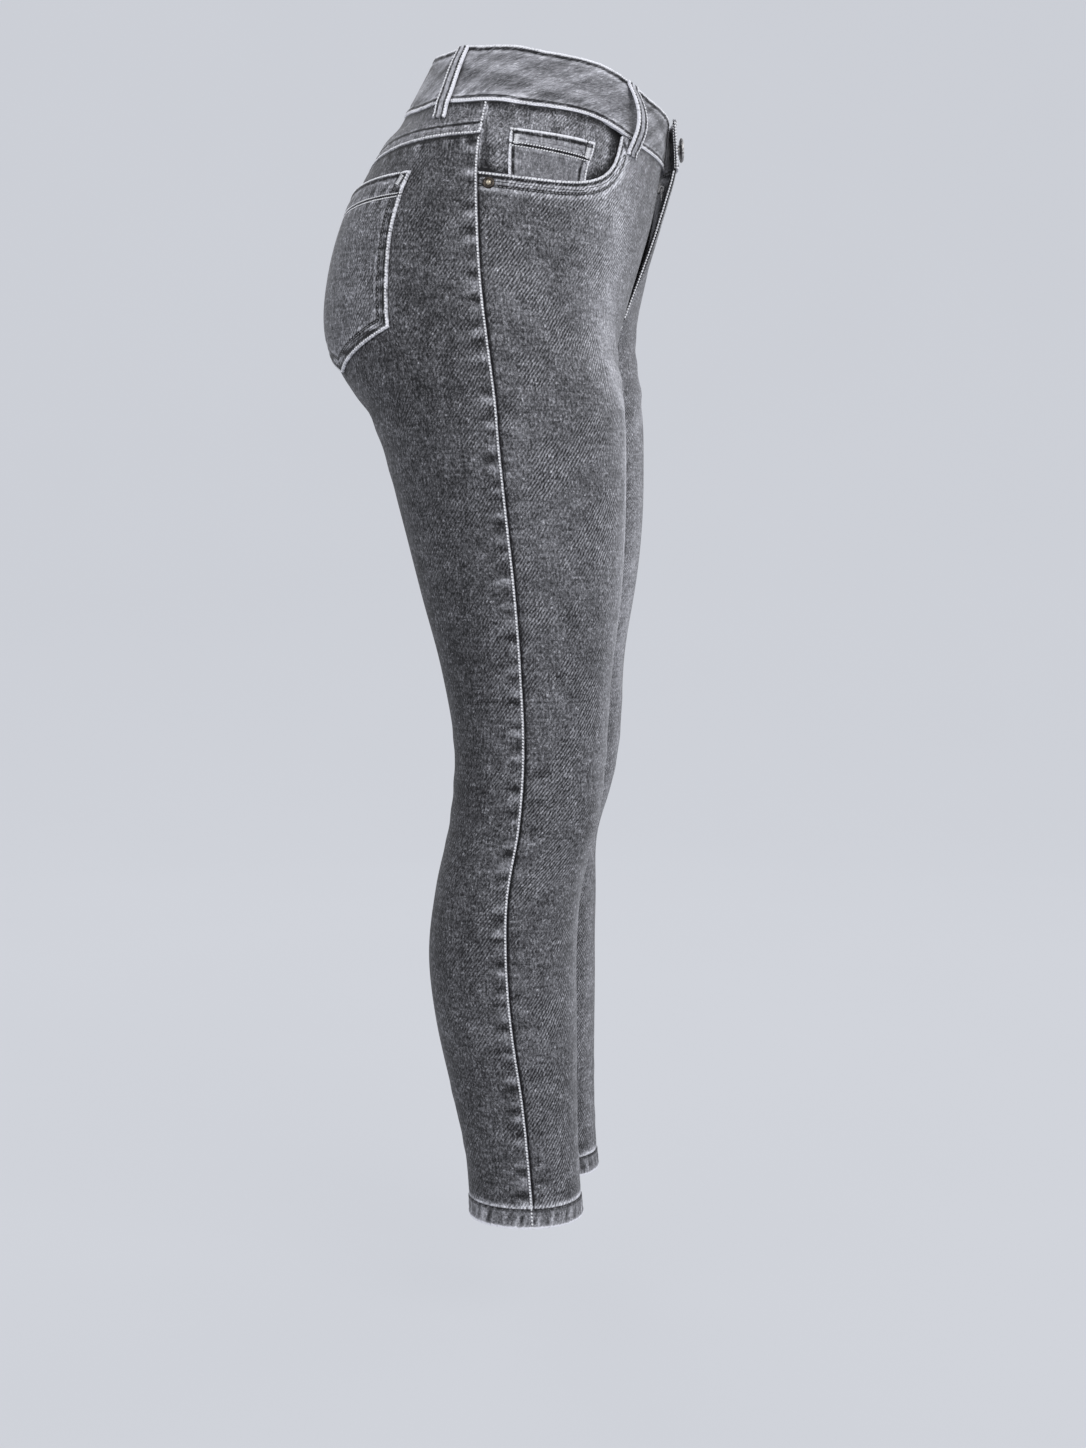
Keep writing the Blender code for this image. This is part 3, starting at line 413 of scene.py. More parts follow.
def tab_lift(level: Grid, arc: Grid) -> Grid:
    """How far the left end of the waistband stands off over the right end."""
    return table_at(TAB_LIFTS, level) * falling(arc, TAB_WIDTH)


def facing_out(level: Grid, forward: Grid) -> Grid:
    """The facing dips under the edge of the pocket mouth and comes level with the front above it."""
    above, behind = level - mouth_level(forward), MOUTH_WIDTH - forward
    sunk = mix(FACING_SUNK_AT_SEAM, FACING_SUNK, ease(forward / 0.02))
    return -sunk * (1 - ease((above - 0.006) / 0.022) * ease((behind - 0.006) / 0.022))


@dataclass(frozen=True)
class Crease:
    """One soft ridge or trough, from a start to an end, each (forward from the side seam, level)."""

    start: tuple[float, float]
    end: tuple[float, float]
    height: float
    width: float
    bend: float = 0.0
    sides: tuple[int, ...] = (RIGHT, LEFT)

    def lift(self, forward: Grid, level: Grid) -> Grid:
        """How far the crease moves each place out, highest along its middle and fading to its ends."""
        (x0, y0), (x1, y1) = self.start, self.end
        run = math.hypot(x1 - x0, y1 - y0)
        dx, dy = (x1 - x0) / run, (y1 - y0) / run
        t = ((forward - x0) * dx + (level - y0) * dy) / run
        side_step = (forward - x0) * -dy + (level - y0) * dx
        side_step = side_step - self.bend * 4 * t * (1 - t) * (np.abs(t - 0.5) < 1)
        along = ease(t / 0.3) * ease((1 - t) / 0.3)
        ridge = np.exp(-((side_step / self.width) ** 2))
        flanks = 0.45 * np.exp(-(((np.abs(side_step) - 1.9 * self.width) / self.width) ** 2))
        return self.height * along * (ridge - flanks)


CREASES = (
    # groin and hip, fanning out from the crotch over the thigh
    Crease((0.215, -0.236), (0.110, -0.196), 0.00058, 0.0055, 0.006),
    Crease((0.222, -0.252), (0.095, -0.226), 0.00067, 0.0060, 0.007),
    Crease((0.240, -0.272), (0.125, -0.256), 0.00050, 0.0060, 0.006),
    Crease((0.245, -0.296), (0.150, -0.292), 0.00033, 0.0060, 0.003),
    Crease((0.190, -0.212), (0.130, -0.176), 0.00033, 0.0050, 0.003),
    # knee, in front and behind
    Crease((0.150, -0.498), (0.040, -0.512), 0.00022, 0.0060, -0.004),
    Crease((0.145, -0.535), (0.030, -0.528), 0.00026, 0.0060, 0.004),
    Crease((0.130, -0.566), (0.025, -0.552), 0.00022, 0.0055, 0.004),
    Crease((-0.010, -0.520), (-0.120, -0.532), 0.00034, 0.0060, -0.005),
    Crease((-0.005, -0.548), (-0.135, -0.556), 0.00038, 0.0060, 0.004),
    Crease((-0.015, -0.582), (-0.125, -0.572), 0.00031, 0.0060, 0.004),
    Crease((-0.030, -0.606), (-0.110, -0.598), 0.00020, 0.0055, 0.002),
    # under the seat
    Crease((-0.040, -0.262), (-0.190, -0.268), 0.00063, 0.0070, -0.008),
    Crease((-0.060, -0.288), (-0.200, -0.292), 0.00048, 0.0065, -0.006),
    Crease((-0.080, -0.318), (-0.190, -0.318), 0.00029, 0.0065, -0.003),
    # ankle
    Crease((0.110, -0.846), (0.010, -0.858), 0.00030, 0.0050, 0.003),
    Crease((-0.010, -0.836), (-0.100, -0.850), 0.00032, 0.0050, -0.003),
    Crease((0.095, -0.808), (0.020, -0.818), 0.00020, 0.0050, 0.002),
    Crease((-0.020, -0.792), (-0.105, -0.802), 0.00024, 0.0055, 0.002),
)


def folds(side: int, forward: Grid, level: Grid) -> Grid:
    """How far all creases together move each place out."""
    total = np.zeros(np.broadcast(forward, level).shape)
    for crease in CREASES:
        if side in crease.sides:
            total = total + crease.lift(forward, level)
    return total


def wobble(x: Grid, seed: int, pitch: float) -> Grid:
    """An uneven wave along a line, about -1 to 1, with this many metres from crest to crest."""
    phase = 2.399 * seed
    w = 2 * np.pi * x / pitch
    waves = ((0.5, 1.0, 1.0), (0.3, 1.73, 2.1), (0.2, 0.61, 0.7))
    return sum(height * np.sin(often * w + late * phase) for height, often, late in waves)


def puckers(run: Grid, away: Grid, seed: int, pitch: float, height: float, reach: float) -> Grid:
    """Small ridges square to a seam, strongest a little way off it.

    Args:
        run: how far along the seam each place lies.
        away: how far from the seam it lies.
        seed: which of the uneven rows this is.
        pitch: metres from ridge to ridge.
        height: the ridges' height in metres.
        reach: how far they run from the seam.

    Returns:
        How far each place moves out.
    """
    fade = ease(away / (0.25 * reach)) * (1 - ease((away - 0.3 * reach) / (0.7 * reach)))
    return height * wobble(run, seed, pitch) * fade


class Value:
    """A number socket of a shader, on which Python's operators add Math nodes."""

    def __init__(self, tree: "ShaderTree", socket: bpy.types.NodeSocket) -> None:
        """Keeps the tree and the socket."""
        self.tree, self.socket = tree, socket

    def _math(self, operation: str, *values: "Value | float") -> "Value":
        """A Math node on these values."""
        made = self.tree.node("ShaderNodeMath", {"operation": operation}, dict(enumerate(values)))
        return Value(self.tree, made.outputs[0])

    def __add__(self, other: "Value | float") -> "Value":
        """self + other."""
        return self._math("ADD", self, other)

    def __radd__(self, other: float) -> "Value":
        """other + self."""
        return self._math("ADD", other, self)

    def __sub__(self, other: "Value | float") -> "Value":
        """self - other."""
        return self._math("SUBTRACT", self, other)

    def __rsub__(self, other: float) -> "Value":
        """other - self."""
        return self._math("SUBTRACT", other, self)

    def __mul__(self, other: "Value | float") -> "Value":
        """self times other."""
        return self._math("MULTIPLY", self, other)

    def __truediv__(self, other: "Value | float") -> "Value":
        """self over other."""
        return self._math("DIVIDE", self, other)

    def sine(self) -> "Value":
        """The sine of self."""
        return self._math("SINE", self)

    def power(self, exponent: float) -> "Value":
        """self to a power."""
        return self._math("POWER", self, exponent)

    def size(self) -> "Value":
        """self without its sign."""
        return self._math("ABSOLUTE", self)

    def step(self, low: float, high: float) -> "Value":
        """0 at low, 1 at high and a smooth step between. low may be the greater of the two."""
        made = self.tree.node(
            "ShaderNodeMapRange",
            {"interpolation_type": "SMOOTHSTEP", "clamp": True},
            {"Value": self, "From Min": min(low, high), "From Max": max(low, high)},
        )
        rising = Value(self.tree, made.outputs[0])
        return rising if high >= low else 1 - rising

    def clamp(self) -> "Value":
        """self kept between 0 and 1."""
        made = self.tree.node("ShaderNodeClamp", {}, {"Value": self})
        return Value(self.tree, made.outputs[0])


class ShaderTree:
    """A material's nodes, made by type with their settings and inputs."""

    def __init__(self, name: str) -> None:
        """Makes the material, with a Principled shader."""
        self.material = bpy.data.materials.new(name)
        self.material.use_nodes = True
        self.tree = self.material.node_tree
        self.shader = self.tree.nodes["Principled BSDF"]

    def node(self, kind: str, settings: dict, inputs: dict) -> bpy.types.ShaderNode:
        """Any node.

        Args:
            kind: the node's type.
            settings: its properties. A ramp's stops are a list of (place, colour).
            inputs: values, Values or sockets by input name or number.

        Returns:
            The node.
        """
        made = self.tree.nodes.new(kind)
        for key, value in settings.items():
            if key == "stops":
                ramp = made.color_ramp.elements
                while len(ramp) < len(value):
                    ramp.new(0.5)
                for stop, (place, colour) in zip(ramp, value):
                    stop.position, stop.color = place, colour
            else:
                setattr(made, key, value)
        for key, value in inputs.items():
            if isinstance(value, Value):
                value = value.socket
            if isinstance(value, bpy.types.NodeSocket):
                self.tree.links.new(value, made.inputs[key])
            else:
                made.inputs[key].default_value = value
        return made

    def attribute(self, name: str) -> Value:
        """A number kept at each point of the mesh."""
        return Value(self, self.node("ShaderNodeAttribute", {"attribute_name": name}, {}).outputs["Fac"])

    def cloth_place(self) -> bpy.types.NodeSocket:
        """The place in the piece's flat cut, in metres: x to the right as seen from outside, y up."""
        return self.node("ShaderNodeUVMap", {"uv_map": "cut"}, {}).outputs[0]

    def object_place(self) -> bpy.types.NodeSocket:
        """The place in object space, in metres."""
        return self.node("ShaderNodeTexCoord", {}, {}).outputs["Object"]

    def parts(self, vector: bpy.types.NodeSocket) -> tuple[Value, Value, Value]:
        """The x, y and z of a vector."""
        made = self.node("ShaderNodeSeparateXYZ", {}, {0: vector})
        return tuple(Value(self, made.outputs[k]) for k in range(3))

    def noise(self, vector: bpy.types.NodeSocket, scale: float, detail: float = 2.0, **more: float) -> Value:
        """Noise about 0.5, with scale waves a metre."""
        inputs = {"Vector": vector, "Scale": scale, "Detail": detail}
        inputs |= {key.title(): value for key, value in more.items()}
        return Value(self, self.node("ShaderNodeTexNoise", {}, inputs).outputs["Fac"])

    def blend(self, share: Value | float, first: object, second: object) -> bpy.types.NodeSocket:
        """A colour between two, each a colour or a socket."""
        settings = {"data_type": "RGBA", "clamp_factor": True}
        return self.node("ShaderNodeMix", settings, {0: share, 6: first, 7: second}).outputs[2]

    def stretched(self, vector: bpy.types.NodeSocket, by: Sequence[float]) -> bpy.types.NodeSocket:
        """The vector with each part multiplied."""
        inputs = {0: vector, 1: tuple(by)}
        return self.node("ShaderNodeVectorMath", {"operation": "MULTIPLY"}, inputs).outputs[0]

    def set(self, **values: object) -> None:
        """Sets the shader's own sockets by name, with _ for a space."""
        for key, value in values.items():
            self.shader.inputs[key.replace("_", " ")].default_value = value

    def feed(self, name: str, value: object) -> None:
        """Links a value or a socket to one of the shader's sockets."""
        self.tree.links.new(value.socket if isinstance(value, Value) else value, self.shader.inputs[name])

    def bumped(self, height: Value, distance: float, strength: float = 1.0) -> None:
        """Gives the shader a normal from a height."""
        made = self.node("ShaderNodeBump", {}, {"Height": height, "Distance": distance, "Strength": strength})
        self.feed("Normal", made.outputs[0])


@dataclass(frozen=True)
class Denim:
    """Washed grey twill.

    tone is how light it looks, from 0 to 1, wear how much paler its rims are, contrast how strong its grain
    is and twill how plain its diagonal is. row_width is the width of a sunk row, and ridges how far beside it
    the cloth stands up.
    """

    name: str
    tone: float = 0.36
    wear: float = 0.30
    contrast: float = 1.12
    twill: float = 1.0
    twill_pitch: float = 0.0022
    light: tuple[float, float, float] = (0.715, 0.715, 0.765)
    looks_linear: float = 2.2
    row_width: float = 0.0015
    ridges: float = 0.0027

    def build(self) -> bpy.types.Material:
        """The material, which reads the cut, wash, rim, ridge and row of the piece that wears it."""
        s = ShaderTree(self.name)
        place = s.cloth_place()
        x, y, _ = s.parts(place)
        drift = s.noise(place, 130.0, 2.0) - 0.5
        across = x * 0.80 - y * 0.60
        twill = ((across / self.twill_pitch + drift * 1.1) * (2 * math.pi)).sine() * (0.5 * self.twill)
        patch = s.noise(place, 24.0, 2.0).step(0.42, 0.60)
        flat = s.stretched(place, (1.0, 0.60, 1.0))
        fleck = s.noise(flat, 620.0, 2.5, roughness=0.62, distortion=0.5) - 0.5
        grain = s.noise(place, 1500.0, 1.0) - 0.5
        slub = s.noise(s.stretched(place, (1.0, 0.07, 1.0)), 620.0, 1.0) - 0.5
        weft = s.noise(s.stretched(place, (0.07, 1.0, 1.0)), 620.0, 1.0) - 0.5
        worm = (s.noise(s.stretched(place, (1.0, 0.7, 1.0)), 360.0, 1.0, distortion=0.9) - 0.5).size()
        worm = worm.step(0.050, 0.0) * s.noise(place, 130.0, 1.0).step(0.42, 0.56)
        speck = s.noise(place, 430.0, 0.0).step(0.72, 0.80)
        mottle = s.noise(place, 60.0, 3.0) - 0.5
        cloud = s.noise(place, 11.0, 2.0) - 0.5
        # wash holds the cloth's washing together with the painted highlight and shade laid on each piece
        wash, rim, ridge = s.attribute("wash"), s.attribute("rim"), s.attribute("ridge")
        plain = (wash * 7.0 + 0.62).clamp() * 0.75 + 0.25
        worn_rim = rim.step(0.0024, 0.0006) * (s.noise(place, 300.0, 1.0).step(0.25, 0.62) * 0.5 + 0.5)
        row = s.attribute("row")
        bites = s.noise(place, 330.0, 1.0).step(0.34, 0.56)
        sunk = row.size().step(self.row_width, 0.0005) * (bites * 0.6 + 0.4)
        uneven = s.noise(place, 150.0, 1.0).step(0.3, 0.7) + 0.3
        raised = (row.size() - self.ridges).size().step(0.0020, 0.0004) * uneven
        k = self.contrast
        value = (
            self.tone
            + twill * (patch * 0.24 + 0.04) * plain * k
            + fleck * (0.90 * k)
            + grain * (0.30 * k)
            + (slub + weft) * (0.20 * k)
            + worm * (0.17 * k)
            - 0.045
            + speck * 0.20
            + mottle * 0.26
            + cloud * 0.12
            + wash
            + ridge * 0.075
            + worn_rim * self.wear
            + rim.step(0.010, 0.001) * 0.04
            + raised * 0.14
            # painted shade: the cloth is darkened along a sunk row of sewing, broken up along it, for the
            # shade in its groove
            - sunk * 0.44
        )
        share = value.clamp().power(self.looks_linear)
        s.feed("Base Color", s.blend(share, (0.004, 0.004, 0.005, 1), (*self.light, 1)))
        s.feed("Roughness", (0.86 + fleck * 0.2).clamp())
        s.bumped(twill * 0.5 + fleck * 1.3 + grain * 0.5 + mottle * 0.8, 0.00035, 0.8)
        s.set(Sheen_Weight=0.1, Specular_IOR_Level=0.25)
        return s.material


@dataclass(frozen=True)
class Thread:
    """Sewing thread, a little fuzzy and uneven in colour."""

    name: str
    colour: tuple[float, float, float]
    shade: tuple[float, float, float]

    def build(self) -> bpy.types.Material:
        """The material, with its twist in object space."""
        s = ShaderTree(self.name)
        place = s.object_place()
        ply = s.noise(s.stretched(place, (1.0, 1.0, 2.5)), 1500.0, 2.0)
        age = s.noise(place, 60.0, 2.0)
        share = (ply * 0.6 + age * 0.7 - 0.2).clamp()
        s.feed("Base Color", s.blend(share, (*self.shade, 1), (*self.colour, 1)))
        s.feed("Roughness", (0.6 + ply * 0.3).clamp())
        s.bumped(ply, 0.0001, 0.8)
        return s.material


@dataclass(frozen=True)
class AgedMetal:
    """Brushed metal with dull spots and bright rubbed places."""

    name: str
    colour: tuple[float, float, float]
    tarnish: tuple[float, float, float]
    roughness: float = 0.38

    def build(self) -> bpy.types.Material:
        """The material, in object space."""
        s = ShaderTree(self.name)
        place = s.object_place()
        spots = s.noise(place, 900.0, 4.0, roughness=0.6)
        brush = s.noise(s.stretched(place, (1.0, 1.0, 9.0)), 2400.0, 2.0)
        s.feed("Base Color", s.blend(spots.step(0.36, 0.62), (*self.tarnish, 1), (*self.colour, 1)))
        s.feed("Roughness", (self.roughness + spots * 0.25 + brush * 0.12 - 0.12).clamp())
        s.bumped(spots + brush * 0.5, 0.00008, 0.6)
        s.set(Metallic=0.9)
        return s.material


@dataclass(frozen=True)
class Tape:
    """The woven tape of the zip, with a fine rib across it."""

    name: str
    rib_pitch: float = 0.0011
    warp_pitch: float = 0.0008

    def build(self) -> bpy.types.Material:
        """The material, which reads the piece's flat cut."""
        s = ShaderTree(self.name)
        place = s.cloth_place()
        x, y, _ = s.parts(place)
        rib = (y * (math.tau / self.rib_pitch)).sine() * 0.5 + (x * (math.tau / self.warp_pitch)).sine() * 0.3
        speckle = s.noise(place, 1300.0, 2.0)
        share = (speckle * 0.6 + rib * 0.25 + 0.15).clamp()
        s.feed("Base Color", s.blend(share, (0.010, 0.010, 0.011, 1), (0.060, 0.060, 0.064, 1)))
        s.feed("Roughness", (0.7 + speckle * 0.2).clamp())
        s.bumped(rib + speckle, 0.0002, 0.8)
        return s.material


@dataclass(frozen=True)
class Backdrop:
    """The pale studio sweep, lightly mottled."""

    name: str
    colour: tuple[float, float, float] = (0.558, 0.577, 0.625)

    def build(self) -> bpy.types.Material:
        """The material, in object space."""
        s = ShaderTree(self.name)
        place = s.object_place()
        tint = s.noise(place, 3.0, 2.0)
        deep = tuple(c * 0.985 for c in self.colour)
        s.feed("Emission Color", s.blend(tint, (*deep, 1), (*self.colour, 1)))
        s.set(Base_Color=(0.06, 0.06, 0.06, 1), Roughness=0.95, Specular_IOR_Level=0.1, Emission_Strength=1.0)
        return s.material


class Finish(Enum):
    """The finishes of the jeans, by the maker's word for each."""

    LEG = Denim("leg_denim")
    YOKE = Denim("yoke_denim", tone=0.39, contrast=1.25, twill=0.6)
    BAND = Denim("waistband_denim", tone=0.575, wear=0.42, contrast=0.8, twill=0.0)
    HEM = Denim("hem_denim", tone=0.50, wear=0.55, contrast=0.90, twill=0.3)
    INSIDE = Denim("denim_inside", tone=0.52, wear=0.05, contrast=0.8)
    PALE_THREAD = Thread("pale_thread", (0.96, 0.96, 0.98), (0.50, 0.50, 0.52))
    GREY_THREAD = Thread("grey_thread", (0.34, 0.34, 0.35), (0.10, 0.10, 0.11))
    DARK_THREAD = Thread("dark_thread", (0.09, 0.09, 0.10), (0.02, 0.02, 0.022))
    BRONZE = AgedMetal("aged_bronze", (0.085, 0.070, 0.058), (0.020, 0.017, 0.015))
    NICKEL = AgedMetal("aged_nickel", (0.46, 0.45, 0.45), (0.13, 0.127, 0.125))
    CREAM = AgedMetal("rubbed_brass", (0.52, 0.46, 0.36), (0.22, 0.18, 0.13), 0.3)
    TAPE = Tape("zip_tape_weave")
    SWEEP = Backdrop("studio_sweep")

    @property
    def material(self) -> bpy.types.Material:
        """The finish's material, built when it is first asked for."""
        return bpy.data.materials.get(self.value.name) or self.value.build()


@dataclass
class Sheet:
    """A grid of places on the cloth and what the finish needs to know at each.

    level and arc say where each point lies, out how far over the worn shape its outer face is. wash is
    how much lighter the cloth is there, from its washing and from painted highlight and shade, rim how far it
    is from a worn edge, ridge how high a crease it lies on, and row how far it is, with a sign, from a sunk
    row of sewing.
    """

    name: str
    side: int | Grid
    level: Grid
    arc: Grid
    out: Grid
    thickness: Grid | float
    wash: Grid | float = 0.0
    rim: Grid | float = 1.0
    ridge: Grid | float = 0.0
    row: Grid | float = 1.0
    cut: Grid | None = None
    closed: bool = False

    def points(self, out: Grid) -> Grid:
        """The grid's points this far over the worn shape."""
        if isinstance(self.side, int):
            return SHAPE.surface(self.side, self.level, self.arc, out)
        right = SHAPE.surface(RIGHT, self.level, self.arc, out)
        left = SHAPE.surface(LEFT, self.level, self.arc, out)
        return np.where((self.side > 0)[..., None], left, right)

    def flat(self) -> Grid:
        """The place of each point in the flat cut, x to the right as seen from outside."""
        if self.cut is not None:
            return self.cut
        return np.stack([-np.asarray(self.side) * (SHAPE.seam(self.level) - self.arc), self.level], -1)

    def build(self, outside: Finish, inside: Finish = Finish.INSIDE) -> bpy.types.Object:
        """The sheet as a closed thin wall.

        Args:
            outside: the finish of its outer face and rims.
            inside: the finish of its inner face.

        Returns:
            The piece, with a UV map named cut and the attributes wash, rim, ridge and row.
        """
        outer, inner = self.points(self.out), self.points(self.out - self.thickness)
        notes = {key: getattr(self, key) for key in ("wash", "rim", "ridge", "row")}
        materials = outside.material, inside.material
        return shell(self.name, outer, inner, self.flat(), notes, materials, self.closed)


def shell(
    name: str,
    outer: Grid,
    inner: Grid,
    flat: Grid,
    notes: dict[str, Grid | float],
    materials: Sequence[bpy.types.Material],
    closed: bool = False,
) -> bpy.types.Object:
    """A closed wall between two grids of points.

    Args:
        name: the piece's name.
        outer: rows of points of the outer face.
        inner: the same of the inner face.
        flat: the UV of each point, with one column more than outer where the wall is closed.
        notes: numbers to keep at each point, by attribute name.
        materials: the finish of the outer face, then of the inner one.
        closed: whether the last column joins the first.

    Returns:
        The piece, at the origin.
    """
    rows, cols = outer.shape[:2]
    steps = cols if closed else cols - 1
    i, j = (g.ravel() for g in np.meshgrid(np.arange(rows - 1), np.arange(steps), indexing="ij"))
    k = (j + 1) % cols
    face = np.stack([i * cols + j, i * cols + k, (i + 1) * cols + k, (i + 1) * cols + j], 1)
    wide = flat.shape[1]
    mark = np.stack([i * wide + j, i * wide + j + 1, (i + 1) * wide + j + 1, (i + 1) * wide + j], 1)
    mid = rows // 2, steps // 2
    across = outer[mid[0], (mid[1] + 1) % cols] - outer[mid]
    up = outer[min(mid[0] + 1, rows - 1), mid[1]] - outer[max(mid[0] - 1, 0), mid[1]]
    turned = float(np.dot(np.cross(across, up), outer[mid] - inner[mid])) < 0
    size = rows * cols
    along, down = np.arange(steps), np.arange(rows - 1)
    rims = [((row, along), (row, along + 1), row > 0) for row in (0, rows - 1)]
    if not closed:
        rims += [((down, col), (down + 1, col), col == 0) for col in (0, cols - 1)]
    quads, marks = [face, face[:, ::-1] + size], [mark, mark[:, ::-1]]
    for start, end, flip in rims:
        (a, b), (u, v) = ([r * w + c % w for r, c in (start, end)] for w in (cols, wide))
        order = slice(None, None, -1 if flip else 1)
        quads.append(np.stack([b, a, a + size, b + size], 1)[:, order])
        marks.append(np.stack([v, u, u, v], 1)[:, order])
    order = slice(None, None, -1 if turned else 1)
    quads, marks = np.vstack(quads)[:, order], np.vstack(marks)[:, order]
    mesh = bpy.data.meshes.new(name)
    mesh.vertices.add(2 * size)
    mesh.vertices.foreach_set("co", np.stack([outer, inner]).astype(np.float32).ravel())
    mesh.loops.add(quads.size)
    mesh.loops.foreach_set("vertex_index", quads.astype(np.int32).ravel())
    mesh.polygons.add(len(quads))
    mesh.polygons.foreach_set("loop_start", np.arange(0, quads.size, 4, dtype=np.int32))
    slot = np.zeros(len(quads), np.int32)
    slot[len(face) : 2 * len(face)] = 1
    mesh.polygons.foreach_set("material_index", slot)
    mesh.update(calc_edges=True)
    layer = mesh.uv_layers.new(name="cut")
    layer.data.foreach_set("uv", flat.reshape(-1, 2)[marks.ravel()].astype(np.float32).ravel())
    for key, value in notes.items():
        made = mesh.attributes.new(key, "FLOAT", "POINT")
        one = np.broadcast_to(np.asarray(value, float), (rows, cols)).ravel()
        made.data.foreach_set("value", np.hstack([one, one]).astype(np.float32))
    for material in materials:
        mesh.materials.append(material)
    mesh.validate()
    mesh.shade_smooth()
    mesh.set_sharp_from_angle(angle=SHARP)
    return placed(name, mesh)


def turned(name: str, profile: Sequence[tuple[float, float, int]], steps: int = 40) -> bpy.types.Mesh:
    """A turned shape about Z.

    Args:
        name: the mesh's name.
        profile: (radius, height, finish number) along its outline, from a point on the axis.
        steps: how many facets go round.

    Returns:
        The mesh.
    """
    build = bmesh.new()
    rows = []
    for radius, height, _ in profile:
        turns = [math.tau * k / steps for k in range(steps if radius else 1)]
        rows.append([build.verts.new((radius * math.cos(a), radius * math.sin(a), height)) for a in turns])
    for (high, low), (_, _, finish) in zip(zip(rows, rows[1:]), profile):
        for k in range(steps):
            n = (k + 1) % steps
            if len(high) == 1:
                face = build.faces.new((high[0], low[k], low[n]))
            elif len(low) == 1:
                face = build.faces.new((high[k], low[0], high[n]))
            else:
                face = build.faces.new((high[k], low[k], low[n], high[n]))
            face.material_index = finish
            face.smooth = True
    bmesh.ops.recalc_face_normals(build, faces=build.faces)
    mesh = bpy.data.meshes.new(name)
    build.to_mesh(mesh)
    build.free()
    mesh.set_sharp_from_angle(angle=SHARP)
    return mesh


def nearest_row(*away: Grid) -> Grid:
    """The signed distance from whichever row of sewing is nearest."""
    away = np.stack(np.broadcast_arrays(*away))
    return np.take_along_axis(away, np.abs(away).argmin(0)[None], 0)[0]


def leg_wash_and_painted_light(side: int, forward: Grid, level: Grid) -> Grid:
    """How the washing, with painted highlight and shade, lightens the front of the leg and darkens the side
    and the back.

    Args:
        side: RIGHT or LEFT.
        forward: how far forward of the side seam each place lies.
        level: its level.

    Returns:
        What to add to the cloth's tone.
    """
    reach = front_reach(level[:, :1]) if level.ndim == 2 else 0.2
    share = np.clip(forward / reach, -1.0, 1.0)
    front = 0.035 * ease(share / 0.06) + 0.05 * ease((share - 0.16) / 0.42)
    # A pale band down the front edge, partly from washing and partly painted highlight, then painted shade
    # past it towards the inseam.
    edge = 0.09 * ease((share - 0.28) / 0.20) + 0.075 * hill(share, 0.55, 0.10)
    edge = edge - 0.06 * ease((share - 0.62) / 0.15)
    back = ease((-forward - 0.004) / 0.05)
    thigh = hill(level, -0.32, 0.30)
    knee = hill(level, -0.53, 0.16)
    uneven = 0.012 * wobble(level, 61 + side, 0.11) + 0.010 * wobble(forward, 67, 0.05)
    hem = 0.22 * hill(level - HEM_SEAM, 0.0024, 0.0026) - 0.05 * hill(level - HEM_SEAM, 0.009, 0.005)
    edge = edge * (1 + 0.35 * thigh + 0.2 * knee) + 0.02 * thigh * (share > 0)
    # Painted light: a highlight down the right leg's front edge, and painted shade on the left leg's inner
    # side below the crotch, where the right leg shades it.
    if side == RIGHT:
        edge = edge + 0.17 * hill(level, -0.33, 0.16) * hill(share, 0.495, 0.07)
    else:
        shade = (0.10 - 0.06 * hill(level, -0.42, 0.10)) * ease((CROTCH + 0.03 - level) / 0.04)
        edge = edge - shade * ease((share - 0.40) / 0.10)
    seat = ease((level - CROTCH) / 0.10)
    return front + edge - back * (0.065 + 0.06 * knee - 0.04 * seat) + uneven + hem


class Wearing:
    """What the sub-assemblies share: each finished piece rides on the jeans and is reported."""

    def keep(self, piece: bpy.types.Object, nodes: Sequence[str], slot: str) -> bpy.types.Object:
        """Puts a finished piece in its place in the frame.

        Args:
            piece: the finished piece.
            nodes: the CAD nodes that it stands for.
            slot: the record's material slot; not used.

        Returns:
            The piece.
        """
        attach(piece, "jeans")
        if nodes:
            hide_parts(*nodes)
        log.info("%s: %d faces", piece.name, len(piece.data.polygons))
        return piece


